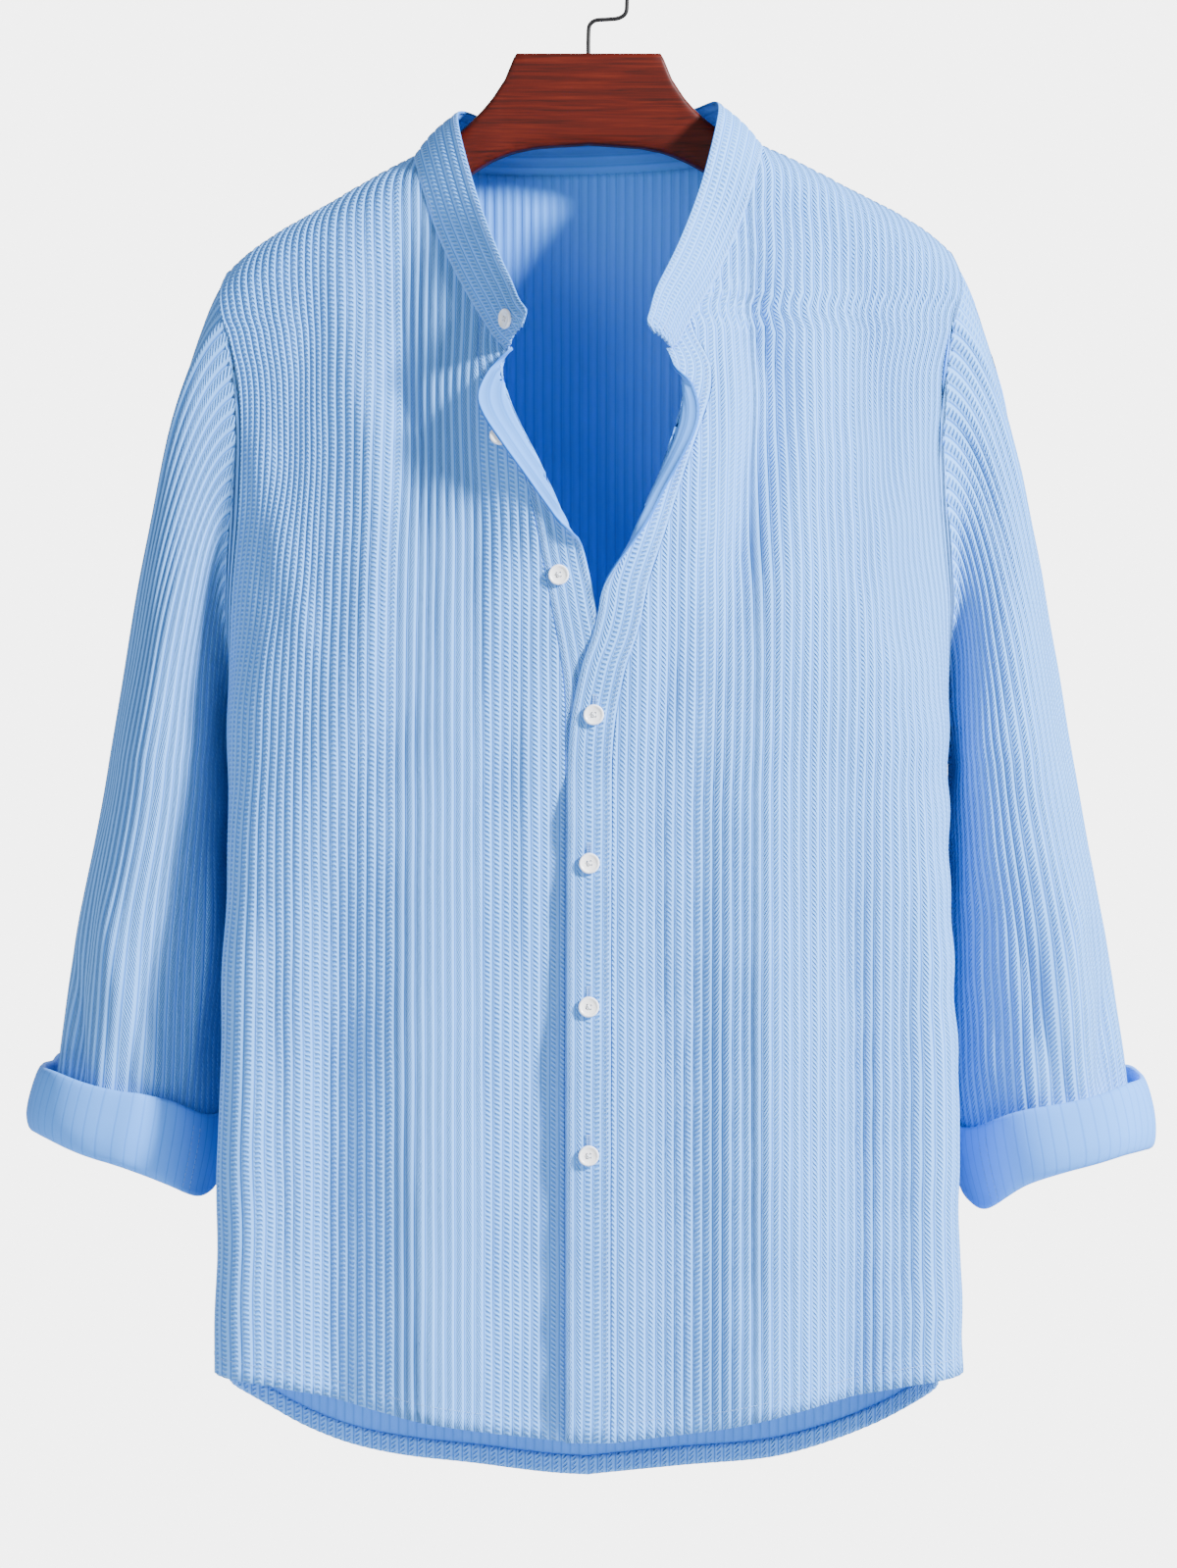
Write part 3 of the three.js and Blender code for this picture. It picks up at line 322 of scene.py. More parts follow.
def backPoint(run, down):
    length = readRows(sections["back"]["length"], down)
    x, y = surfaceAt("back", run, down)
    (xa, ya), (xb, yb) = surfaceAt("back", run - 2, down), surfaceAt("back", run + 2, down)
    size = np.hypot(xb - xa, yb - ya)
    out = foldOut(folds["back"], run / length, down) + pinchOut(np.minimum(run, length - run), down)
    out = out + creaseOut(creases["back"], x, down)
    out = (out + ripple(x, down, 13, 0.9, (50, 90)) * settled(x, down)) / size
    return np.stack([x - out * (yb - ya), y + out * (xb - xa), -down + 0 * x], axis=-1)


def topDown(face, fromSide, xAt):  # where each column stops at the top: armhole, shoulder or neck
    low = np.full(len(fromSide), 100.0)
    high = np.full(len(fromSide), body["block"] - 5.0)
    for _ in range(40):
        middle = (low + high) / 2
        x = xAt(middle)
        line = np.where(np.abs(x) > neckOut, shoulderDown(x), neckDown(face, x))
        high = np.where(middle > line, middle, high)
        low = np.where(middle > line, low, middle)
    return np.where(fromSide < armholeCut, armholeDown(fromSide), high)


# Ribs: each a broad flat band between two narrow valleys, drawn with four columns of points

rib = dict(pitch=5.3, valley=1.2, body=0.95, placket=0.55, collar=0.7, uneven=0.12, turn=1.48)
ribSteps = np.array([0, 0.16, 0.5, 0.84])
ribShape = np.array([0.0, 0.86, 1.0, 0.86])
ribCount = 54  # ribs from the middle of the body to a side
straightTo = 150  # beyond this distance from the middle the ribs give way to the form's changing width
ribOut = np.append((np.arange(ribCount)[:, None] + ribSteps[None]).ravel(), ribCount) * rib["pitch"]


def ribColumns(count, loop=False):
    at = (np.arange(count)[:, None] + ribSteps[None]).ravel() / count
    return at if loop else np.append(at, 1.0)


def ribRelief(columns):
    return np.resize(ribShape, columns)


def levelsOf(top, hem, upper, lower):  # rows of points for every column, closer together at the top
    t = np.linspace(0, 1, upper + 1) ** 1.25
    s = np.linspace(0, 1, lower + 1)[1:]
    down = np.concatenate([t, np.ones(lower)])[None] * (body["block"] - top[:, None]) + top[:, None]
    down[:, upper + 1:] += s[None] * (hem[:, None] - body["block"])
    return down


def gridNormals(points, loop=False):
    if loop:
        across = np.roll(points, -1, 0) - np.roll(points, 1, 0)
    else:
        across = np.gradient(points, axis=0)
    along = np.gradient(points, axis=1)
    return unit(np.cross(across, along))


frontLevels = dict(upper=46, lower=52)
backLevels = dict(upper=38, lower=44)
measuredAt = dict(chest=300.0, frontHem=800.0, backHem=850.0)  # levels where shares across are taken


centreRun = {face: runAtX(sections[face], 0 * downTable) for face in ("front", "back")}


def outAt(face, out, down):  # length of cloth from the middle to the rib that lies "out" from it when flat
    stretch = (readRows(centreRun[face], down) - straightTo) / (ribOut[-1] - straightTo)
    return np.where(out > straightTo, straightTo + (out - straightTo) * stretch, out)


def panelOf(pointOf, run, down, flat, sign, cutAway):
    across = pointOf(run + 1, down) - pointOf(run - 1, down)
    along = pointOf(run, down + 1) - pointOf(run, down - 1)
    out = unit(np.cross(across, along)) * sign
    return dict(points=pointOf(run, down), out=out, flat=flat, cutAway=cutAway)


def frontPanel(side):
    flat = ribOut[::-1]

    def straightRun(down, flat=flat):
        return readRows(centreRun["front"], down) - outAt("front", flat, down)

    def runAt(down, flat=flat):
        return np.minimum(straightRun(down, flat), seamRun(side, down) - seamGap)

    def pointOf(run, down):
        return frontPoint(side, run, down)

    def xAt(down):
        return pointOf(runAt(down), down)[:, 0]

    top = topDown("front", runAt(measuredAt["chest"] + 0 * flat), xAt)
    atHem = runAt(measuredAt["frontHem"] + 0 * flat)
    down = levelsOf(top, hemDown["front"](atHem / atHem[-1]), **frontLevels)
    run = runAt(down, flat[:, None])
    cutAway = straightRun(down, flat[:, None]) >= run + 1e-6
    flatAt = np.where(cutAway, readRows(centreRun["front"], down) - run, flat[:, None])
    return panelOf(pointOf, run, down, flatAt, -1 if side == "right" else 1, cutAway)


def backPanel():
    flat = np.concatenate([-ribOut[:0:-1], ribOut])
    chest, hemLevel = measuredAt["chest"], measuredAt["backHem"]

    def length(down):
        return readRows(sections["back"]["length"], down)

    def runAt(down, flat=flat):
        run = readRows(centreRun["back"], down) + np.sign(flat) * outAt("back", np.abs(flat), down)
        return np.clip(run, seamGap, length(down) - seamGap)

    def xAt(down):
        return backPoint(runAt(down), down)[:, 0]

    run = runAt(chest + 0 * flat)
    fromSide = np.minimum(run, length(chest) - run)
    top = topDown("back", fromSide, xAt)
    across = runAt(hemLevel + 0 * flat) / length(hemLevel)
    down = levelsOf(top, hemDown["back"](np.minimum(across, 1 - across) * 2), **backLevels)
    run = runAt(down, flat[:, None])
    return panelOf(backPoint, run, down, flat[:, None] + 0 * run, 1, None)


# Building a sheet: a grid of points becomes a mesh that carries its own flat coordinates in metres


def lengthsAlong(points, axis):
    steps = np.linalg.norm(np.diff(points, axis=axis), axis=-1)
    zero = np.zeros_like(np.take(steps, [0], axis=axis))
    return np.concatenate([zero, np.cumsum(steps, axis=axis)], axis=axis)


def objectFrom(bm, name):
    mesh = bpy.data.meshes.new(name)
    bm.to_mesh(mesh)
    bm.free()
    made = bpy.data.objects.new(name, mesh)
    bpy.context.scene.collection.objects.link(made)
    return made


def outwardAt(outward, place):  # one direction for all, or away from the upright line at this x
    if isinstance(outward, tuple):
        return Vector(outward)
    return Vector((place.x - outward, place.y, 0))


def meshFromGrid(name, points, flatU, flatV, outward=None, loop=False, capped=False, cutAway=None):
    if loop:
        points = np.concatenate([points, points[:1]])
        whole = (flatU[-1:] - flatU[:1]) * len(flatU) / (len(flatU) - 1)
        flatU = np.concatenate([flatU, flatU[:1] + whole])
        flatV = np.concatenate([flatV, flatV[:1]])
    columns, rows = points.shape[:2]
    bm = bmesh.new()
    bmesh.ops.create_grid(bm, x_segments=columns - 1, y_segments=rows - 1, size=1)
    uv = bm.loops.layers.uv.new("flat")
    place = {}
    for v in bm.verts:
        i = round((v.co.x + 1) / 2 * (columns - 1))
        j = round((v.co.y + 1) / 2 * (rows - 1))
        place[v] = (i, j)
    for v, (i, j) in place.items():
        v.co = points[i, j] * millimetre
    if cutAway is not None:
        gone = [face for face in bm.faces if all(cutAway[place[v]] for v in face.verts)]
        bmesh.ops.delete(bm, geom=gone, context="FACES")
    for face in bm.faces:
        for corner in face.loops:
            i, j = place[corner.vert]
            corner[uv].uv = (flatU[i, j] * millimetre, flatV[i, j] * millimetre)
    if loop:
        bmesh.ops.remove_doubles(bm, verts=bm.verts, dist=1e-6)
    if capped:
        bmesh.ops.holes_fill(bm, edges=[e for e in bm.edges if e.is_boundary], sides=0)
        bmesh.ops.recalc_face_normals(bm, faces=bm.faces)
    else:
        bm.normal_update()
        facing = [f.normal.dot(outwardAt(outward, f.calc_center_median())) * f.calc_area() for f in bm.faces]
        if sum(facing) < 0:
            bmesh.ops.reverse_faces(bm, faces=bm.faces)
    for face in bm.faces:
        face.smooth = True
    return objectFrom(bm, name)


thickness = dict(cloth=0.9, hem=0.8, placket=1.3, collar=1.5)


def clothPiece(
        name, points, flatU, flatV, outward, materials, thick=thickness["cloth"], loop=False, cutAway=None):
    piece = meshFromGrid(name, points, flatU, flatV, outward, loop, cutAway=cutAway)
    for material in materials:
        piece.data.materials.append(material)
    wall = piece.modifiers.new("clothThickness", "SOLIDIFY")
    wall.thickness = thick * millimetre
    wall.offset = -1
    wall.use_rim = True
    wall.material_offset = len(materials) - 1
    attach(piece, "root")
    return piece


# Materials

def linear(hexColour):
    out = []
    for shift in (16, 8, 0):
        c = ((hexColour >> shift) & 255) / 255
        out.append(c / 12.92 if c <= 0.04045 else ((c + 0.055) / 1.055) ** 2.4)
    return (*out, 1.0)


def addNode(tree, kind, settings=None, inputs=None, links=None):
    node = tree.nodes.new(kind)
    for key, value in (settings or {}).items():
        setattr(node, key, value)
    for key, value in (inputs or {}).items():
        node.inputs[key].default_value = value
    for key, socket in (links or {}).items():
        tree.links.new(socket, node.inputs[key])
    return node


def newMaterial(name):
    material = bpy.data.materials.new(name)
    material.use_nodes = True
    tree = material.node_tree
    tree.nodes.clear()
    return material, tree


def ramp(tree, fac, stops):
    node = addNode(tree, "ShaderNodeValToRGB", links={"Fac": fac})
    ends = node.color_ramp.elements
    ends[0].position, ends[0].color = stops[0]
    ends[1].position, ends[1].color = stops[-1]
    for position, colour in stops[1:-1]:
        ends.new(position).color = colour
    return node


def raised(tree, height, strength, distance, over=None):  # low relief, on top of another one if given
    links = {"Height": height}
    if over is not None:
        links["Normal"] = over
    inputs = {"Strength": strength, "Distance": distance * millimetre}
    return addNode(tree, "ShaderNodeBump", inputs=inputs, links=links).outputs["Normal"]


def finishMaterial(tree, colour, normal, inputs):
    links = {"Base Color": colour, "Normal": normal}
    shader = addNode(tree, "ShaderNodeBsdfPrincipled", inputs=inputs, links=links)
    addNode(tree, "ShaderNodeOutputMaterial", links={"Surface": shader.outputs[0]})


# Woven crinkle cotton: ribs puckered in short slanting ticks, a plainer strip, then a valley
# Painted shade: all colours here but lit and reverse are darker copies of the cloth, for the ticks' low parts
# and the rib valleys
crinkle = dict(
    lit=0x78B9FF, paintedRibShade=0x428CEA, valley=0x2670CE, reverse=0x529AF6, paintedReverseShade=0x4288E4,
    slant=0.66, tick=2.1, distortion=1.1, weave=0.5, patch=60, bump=1.2, height=0.7,
    reverseBump=0.3, reverseHeight=0.2, roughness=0.85, sheen=0.03,
)


def bands(tree, vector, period, **inputs):
    return addNode(
        tree, "ShaderNodeTexWave", {"wave_type": "BANDS", "bands_direction": "Y", "wave_profile": "SIN"},
        {"Scale": math.tau / (period * millimetre * 20), **inputs}, {"Vector": vector},
    )


def mixed(tree, fac, first, second, blend="MIX"):
    node = addNode(tree, "ShaderNodeMix", {"data_type": "RGBA", "blend_type": blend})
    for key, value in ((0, fac), (6, first), (7, second)):
        if isinstance(value, bpy.types.NodeSocket):
            tree.links.new(value, node.inputs[key])
        else:
            node.inputs[key].default_value = value
    return node.outputs[2]


def grey(value):
    return (value, value, value, 1)


def crinkleCotton(name, ribbed):
    c = crinkle
    material, tree = newMaterial(name)
    flat = addNode(tree, "ShaderNodeUVMap", {"uv_map": "flat"}).outputs["UV"]
    slanted = addNode(
        tree, "ShaderNodeMapping", inputs={"Rotation": (0, 0, -c["slant"])}, links={"Vector": flat},
    ).outputs["Vector"]
    weave = addNode(
        tree, "ShaderNodeTexNoise", inputs={"Scale": 1 / (c["weave"] * millimetre), "Detail": 2.0},
        links={"Vector": flat},
    ).outputs["Fac"]
    patches = addNode(
        tree, "ShaderNodeTexNoise", inputs={"Scale": 1 / (c["patch"] * millimetre), "Detail": 3.0},
        links={"Vector": flat},
    ).outputs["Fac"]
    across = addNode(tree, "ShaderNodeSeparateXYZ", links={"Vector": flat}).outputs["X"]
    ribs = addNode(
        tree, "ShaderNodeMath", {"operation": "DIVIDE"}, {1: rib["pitch"] * millimetre}, {0: across})
    phase = addNode(tree, "ShaderNodeMath", {"operation": "FRACT"}, links={0: ribs.outputs[0]}).outputs[0]
    if ribbed:
        ticks = bands(
            tree, slanted, c["tick"], **{"Distortion": c["distortion"], "Detail": 2.0, "Detail Scale": 1.3},
        ).outputs["Fac"]
        puckered = ramp(
            tree, phase, [(0.08, grey(0)), (0.2, grey(1)), (0.58, grey(1)), (0.72, grey(0))]).outputs["Color"]
        height = mixed(tree, puckered, grey(0.7), ticks)
        # Painted shade: the valleys between ribs are coloured darker, where shade falls
        paintedValleyShadeMask = ramp(
            tree, phase, [(0.0, grey(1)), (0.1, grey(0)), (0.88, grey(0)), (1.0, grey(1))]).outputs["Color"]
        # Painted shade: the low parts of the ticks, and partly the plainer strip, take the darker colour
        colour = mixed(tree, height, linear(c["paintedRibShade"]), linear(c["lit"]))
        colour = mixed(tree, paintedValleyShadeMask, colour, linear(c["valley"]))
        strength, distance = c["bump"], c["height"]
    else:
        # Painted shade: the reverse's rib edges, where its grooves lie, take the darker colour
        height = ramp(
            tree, phase, [(0.0, grey(0)), (0.12, grey(1)), (0.9, grey(1)), (1.0, grey(0))]).outputs["Color"]
        colour = mixed(tree, height, linear(c["paintedReverseShade"]), linear(c["reverse"]))
        strength, distance = c["reverseBump"], c["reverseHeight"]
    tone = ramp(tree, patches, [(0.3, (0.94, 0.95, 0.97, 1)), (0.7, grey(1))]).outputs["Color"]
    colour = mixed(tree, 1.0, colour, tone, "MULTIPLY")
    ribHeight = raised(tree, height, strength, distance)
    weaveHeight = raised(tree, weave, 0.25, 0.12, ribHeight)
    finishMaterial(tree, colour, weaveHeight, {
        "Roughness": c["roughness"], "Sheen Weight": c["sheen"], "Sheen Roughness": 0.5, "IOR": 1.5,
        "Specular IOR Level": 0.2,
    })
    return material


faceCotton = crinkleCotton("ribbedCrinkleCotton", True)
reverseCotton = crinkleCotton("smoothCottonReverse", False)


def smallMaterial(name, colour, roughness, grain, **shaderInputs):  # plain finishes with a fine unevenness
    material, tree = newMaterial(name)
    at = addNode(tree, "ShaderNodeTexCoord").outputs["Object"]
    fine = addNode(
        tree, "ShaderNodeTexNoise", inputs={"Scale": 900.0, "Detail": 2.0}, links={"Vector": at},
    ).outputs["Fac"]
    low = tuple(v * (1 - grain * 3) for v in linear(colour)[:3]) + (1.0,)
    tone = ramp(tree, fine, [(0.35, low), (0.65, linear(colour))]).outputs["Color"]
    finishMaterial(tree, tone, raised(tree, fine, grain * 2, 0.05), {"Roughness": roughness, **shaderInputs})
    return material


buttonResin = smallMaterial(
    "castPolyesterResin", 0xF1F2F5, 0.28, 0.02, **{"Coat Weight": 0.35, "IOR": 1.52})
sewingThread = smallMaterial("cottonSewingThread", 0x74A8EA, 0.8, 0.08)
buttonThread = smallMaterial("whiteButtonThread", 0xE9EEF6, 0.75, 0.05)
wireEnamel = smallMaterial("blackEnamelledSteel", 0x0E0E10, 0.45, 0.0, **{"Specular IOR Level": 0.3})


def mahoganyLacquer():  # red-brown stained wood, long straight grain along the arms, satin lacquer
    material, tree = newMaterial("mahoganyLacquer")
    at = addNode(tree, "ShaderNodeTexCoord").outputs["Object"]
    long = addNode(
        tree, "ShaderNodeMapping", inputs={"Scale": (22.0, 700.0, 700.0)}, links={"Vector": at},
    ).outputs["Vector"]
    grain = addNode(
        tree, "ShaderNodeTexNoise", inputs={"Scale": 1.0, "Detail": 4.0, "Roughness": 0.6, "Distortion": 0.5},
        links={"Vector": long},
    ).outputs["Fac"]
    tone = ramp(
        tree, grain, [(0.3, linear(0x280602)), (0.52, linear(0x420B03)), (0.75, linear(0x521607))],
    ).outputs["Color"]
    finishMaterial(tree, tone, raised(tree, grain, 0.15, 0.1), {
        "Roughness": 0.5, "Coat Weight": 0.02, "Coat Roughness": 0.3, "Specular IOR Level": 0.15,
    })
    return material


wood = mahoganyLacquer()
cloths = [faceCotton, reverseCotton]
print("materials made")

# Body panels

fronts = {side: frontPanel(side) for side in sides}
back = backPanel()
print("panel grids made")


def reliefOf(panel):  # height of the ribs above the valleys, each rib a little different
    phase = panel["flat"] / rib["pitch"]
    shape = np.interp(phase % 1, np.append(ribSteps, 1), np.append(ribShape, 0))
    return rib["valley"] + rib["body"] * shape * (1 + rib["uneven"] * np.sin(np.floor(phase) * rib["turn"]))


def panelShell(name, panel, outward, nodeName, hand):
    points = panel["points"]
    made = points + panel["out"] * reliefOf(panel)[..., None]
    piece = clothPiece(
        name, made, panel["flat"] * hand, lengthsAlong(points, 1), outward, cloths, cutAway=panel["cutAway"])
    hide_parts(nodeName)
    return made


frontward, backward = (0, -1, 0), (0, 1, 0)
rightMade = panelShell("frontRight", fronts["right"], frontward, "front_right", -1)
leftMade = panelShell("frontLeft", fronts["left"], frontward, "front_left", 1)
backMade = panelShell("backPanel", back, backward, "back", -1)
print("panels made")

# Plackets: a doubled strip carries on from each front's edge, its top part turned over outwards

placketSteps = 100


def placketStrip(side, down, fractions):
    run = seamRun(side, down) - seamGap / 2
    start = frontPoint(side, run, down)
    ahead = unit(frontPoint(side, run + 3, down) - start)
    facing = -1 if side == "right" else 1
    outward = np.stack([-ahead[:, 1], ahead[:, 0], 0 * down], axis=-1) * facing
    flap = flapWidth[side](down)
    width = placket["width"] - seamShift[side](down) + flap
    turn = placket["turnRight" if side == "right" else "turnLeft"] * ease(0, 9, flap)
    q = (np.arange(placketSteps) + 0.5)[None] / placketSteps * width[:, None]
    bendAt = (width - flap)[:, None]
    angle = turn[:, None] * ease(bendAt - placket["bend"], bendAt + placket["bend"], q)
    zero = np.zeros((len(down), 1))
    flat = np.concatenate([zero, np.cumsum(np.cos(angle), 1)], 1) * width[:, None] / placketSteps
    lift = np.concatenate([zero, np.cumsum(np.sin(angle), 1)], 1) * width[:, None] / placketSteps
    at = np.clip(fractions * placketSteps, 0, placketSteps - 1e-6)
    i, t = at.astype(int), at % 1
    flat = flat[:, i] * (1 - t) + flat[:, i + 1] * t
    lift = lift[:, i] * (1 - t) + lift[:, i + 1] * t
    return start[:, None] + ahead[:, None] * flat[..., None] + outward[:, None] * lift[..., None]


placketRows = dict(upper=4.0, lower=10.0, changeDown=470, neckBlend=60)
placketRibs = 5
placketLift = 0.55  # how far the strip's wall lies above the front's


def placketGrid(side):
    edge = -fronts[side]["points"][-1, :, 2]
    change = placketRows["changeDown"]
    downs = np.concatenate([
        np.arange(edge[0], change, placketRows["upper"]),
        np.linspace(change, edge[-1], round((edge[-1] - change) / placketRows["lower"])),
    ])
    fractions = ribColumns(placketRibs)
    top = placketStrip(side, downs[:1], fractions)[0]
    blend = 1 - ease(0, placketRows["neckBlend"], downs - edge[0])
    columns = []
    for i in range(len(fractions)):
        drop = neckDown("front", top[i, 0]) - edge[0]
        columns.append(placketStrip(side, downs + drop * blend, fractions)[:, i])
    return np.array(columns)


plackets = {side: placketGrid(side) for side in sides}
placketMade = {}
for side, sign in sides.items():
    points = plackets[side]
    normals = gridNormals(points) * sign
    relief = rib["placket"] * ribRelief(points.shape[0])[:, None, None]
    made = points + normals * (rib["valley"] + placketLift + relief)
    placketMade[side] = (made, normals)
    ribU = ribColumns(placketRibs) * placketRibs * rib["pitch"] * -sign
    flatU = np.repeat(ribU[:, None], points.shape[1], axis=1)
    strip = clothPiece(
        "placket" + side.capitalize(), made, flatU, lengthsAlong(points, 1), frontward, cloths,
        thickness["placket"])
    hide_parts("placket_" + side)
print("plackets made")

# Collar: a band that stands on the neck seam, from one front edge round the back to the other

# share of the way round, towards +X, forwards, up
collarRows = [
    (0, 12, 24, 20), (0.12, 22, 18, 17), (0.26, 24, 6, 26), (0.32, 26, 0, 28), (0.4, 10, 8, 33),
    (0.5, 0, 9, 34), (0.6, -10, 8, 33), (0.68, -26, 0, 28), (0.74, -24, 6, 26), (0.88, -22, 19, 17),
    (0.95, -20, 24, 14), (1, -15, 29, 12),
]
collarMake = dict(samples=180, over=1.0, lower=1.2, cornerLength=9, cornerShare=0.3, ribs=6)


def evenly(at, along, shares):  # values of a list of places, read at even lengths along it
    run = runOf(at)
    wanted = shares * run[-1]
    return [np.stack([np.interp(wanted, run, part[:, k]) for k in range(3)], -1) for part in (at, *along)]


def soften(values, passes, loop=False):
    for _ in range(passes):
        if loop:
            values = (np.roll(values, 1, 0) + values + np.roll(values, -1, 0)) / 3
        else:
            padded = np.concatenate([values[:1], values, values[-1:]])
            values = (padded[:-2] + values + padded[2:]) / 3
    return values


def neckSeam():
    stripOut = {side: gridNormals(plackets[side])[:, 0] * sign for side, sign in sides.items()}
    parts = []
    for at, out, flipped in (
        (plackets["right"][:, 0], stripOut["right"], True),
        (fronts["right"]["points"][:, 0], fronts["right"]["out"][:, 0], True),
        (back["points"][:, 0], back["out"][:, 0], False),
        (fronts["left"]["points"][:, 0], fronts["left"]["out"][:, 0], False),
        (plackets["left"][:, 0], stripOut["left"], False),
    ):
        keep = np.abs(at[:, 0]) <= neckOut
        at, out = at[keep], out[keep]
        parts.append((at[::-1], out[::-1]) if flipped else (at, out))
    return np.concatenate([p[0] for p in parts]), np.concatenate([p[1] for p in parts])


def collarGrid():
    c = collarMake
    at, out = neckSeam()
    share = np.linspace(0, 1, c["samples"] + 1)
    at, out = evenly(at, [out], share)
    at, out = soften(at, 4), unit(soften(out, 14))
    aside, forward, up = (through(collarRows, k)(share) for k in (1, 2, 3))
    stand = np.stack([aside, -forward, up], -1)
    length = np.linalg.norm(np.diff(at, axis=0), axis=1).sum()
    corner = np.clip(np.minimum(share, 1 - share) * length / c["cornerLength"], 0, 1)
    trim = 1 - c["cornerShare"] + c["cornerShare"] * np.sqrt(1 - (1 - corner) ** 2)
    foot = at + out * c["over"] - unit(stand) * c["lower"]
    rise = ribColumns(c["ribs"])
    bow = 1.6 * np.sin(np.pi * rise)[:, None, None] * out[None]
    wave = ripple(share[None] * length, rise[:, None] * 35, 21, 0.9, (38, 70))[..., None] * out[None]
    rise = rise[:, None, None]
    return foot[None] + stand[None] * (rise * trim[None, :, None]) + bow + wave * rise


collarPoints = collarGrid()
collarNormals = gridNormals(collarPoints)
collarMade = collarPoints + collarNormals * (
    rib["valley"] + rib["collar"] * ribRelief(collarPoints.shape[0])[:, None, None])
collarU = ribColumns(collarMake["ribs"]) * collarMake["ribs"] * -rib["pitch"]
collarU = np.repeat(collarU[:, None], collarPoints.shape[1], axis=1)
collar = clothPiece(
    "collarBand", collarMade, collarU, lengthsAlong(collarPoints, 1), 0.0, cloths, thickness["collar"])
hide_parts("collar")
print("collar made")

# Sleeves: from the armhole round the shoulder end, down the arm

sleeve = dict(ribs=54, bicep=462, squareness=2.3, twist=0.11, capRows=30, tubeRows=40, tuck=-2.5, under=-0.3)
# how far each end of the sleeve head's curve keeps its direction
capPull = dict(leave=0.42, leaveMore=0.13, arrive=0.6)
# down, outer x, inner x, front y, back y, tilt
sleeveRows = {
    "right": [
        (400, -262, -208, -56, 52, 0.02), (462, -271, -207.5, -58, 54, 0.05),
        (530, -282, -207, -58, 54, 0.08), (585, -291, -207, -57, 53, 0.14),
        (632, -297, -210, -54, 51, 0.24), (655, -300, -212, -52, 50, 0.28), (690, -308, -218, -50, 48, 0.28),
    ],
    "left": [
        (400, 262, 208, -56, 52, -0.02), (462, 274, 207.5, -58, 54, -0.05),
        (530, 285, 207.5, -58, 54, -0.08), (585, 294, 208, -57, 53, -0.14),
        (632, 300, 210.5, -54, 51, -0.24), (662, 304, 213, -52, 50, -0.28), (697, 310, 220, -50, 48, -0.28),
    ],
}
tubeEnd = {"right": 672, "left": 679}
# turn, reach, out, from, full
sleeveFolds = [
    (0.13, 0.035, -4, 480, 610), (0.22, 0.05, 3, 480, 600), (0.36, 0.04, -3, 520, 620),
    (0.68, 0.05, -4, 460, 600), (0.86, 0.05, -4, 500, 610),
]
# turn and down at each end, half width in mm, out
sleeveCreases = [
    (0.06, 560, 0.2, 665, 7, -2.4), (0.16, 520, 0.32, 668, 8, 2.0), (0.3, 540, 0.24, 668, 6, -2.2),
    (0.42, 500, 0.36, 660, 8, 2.2), (0.1, 300, 0.08, 520, 12, -2.0), (0.2, 320, 0.24, 560, 12, 1.8),
    (0.6, 540, 0.74, 668, 8, -2.2), (0.72, 500, 0.66, 660, 9, 2.0), (0.9, 380, 0.84, 600, 10, -2.0),
    (0.95, 560, 0.86, 668, 8, 2.0), (0.78, 320, 0.8, 520, 12, -1.6),
]
sleeveAround = 285  # mm once round, which turns shares of a turn into lengths
armMiddle = dict(sleeve=240, end=264)  # how far out the sleeve's middle line runs


def sleeveRing(side, down, turn, grow=0):
    outer, inner, front, back, tilt = (through(sleeveRows[side], k)(down) for k in (1, 2, 3, 4, 5))
    middle, half = (outer + inner) / 2, (outer - inner) / 2
    c, s = np.cos(math.tau * turn), np.sin(math.tau * turn)
    power = 2 / sleeve["squareness"]
    sign = np.sign(half)
    x = sign * (np.abs(half) + grow * 0.7) * np.sign(c) * np.abs(c) ** power + sign * grow * 0.3
    y = -(np.where(s > 0, -front, back) + grow) * np.sign(s) * np.abs(s) ** power
    turned = sleeve["twist"] * ease(sleeve["bicep"], sleeve["bicep"] + 110, down) * sign * -y
    return np.stack([middle + x + turned, y, -down - tilt * x], -1)


def armholeEdge(panel, hand, fromEnd=False):
    top, out = panel["points"][:, 0], panel["out"][:, 0]
    if fromEnd:
        top, out = top[::-1], out[::-1]
    cut = int(np.argmax(-top[:, 2] - shoulderDown(top[:, 0]) < 1))
    edge, out = top[:cut + 1], out[:cut + 1]
    away = unit(np.cross(np.gradient(edge, axis=0), out)) * hand
    return edge, out, away


def armholeLoop(side, turns):
    if side == "right":
        ofFront, ofBack = armholeEdge(fronts["right"], -1), armholeEdge(back, 1)
    else:
        ofFront, ofBack = armholeEdge(fronts["left"], 1), armholeEdge(back, -1, True)
    first = turns <= 0.5
    at, out, away = evenly(ofFront[0][::-1], [ofFront[1][::-1], ofFront[2][::-1]], turns[first] * 2)
    at2, out2, away2 = evenly(ofBack[0], [ofBack[1], ofBack[2]], turns[~first] * 2 - 1)
    at, out, away = np.concatenate([at, at2]), np.concatenate([out, out2]), np.concatenate([away, away2])
    return at, unit(soften(out, 6, True)), unit(soften(away, 6, True))


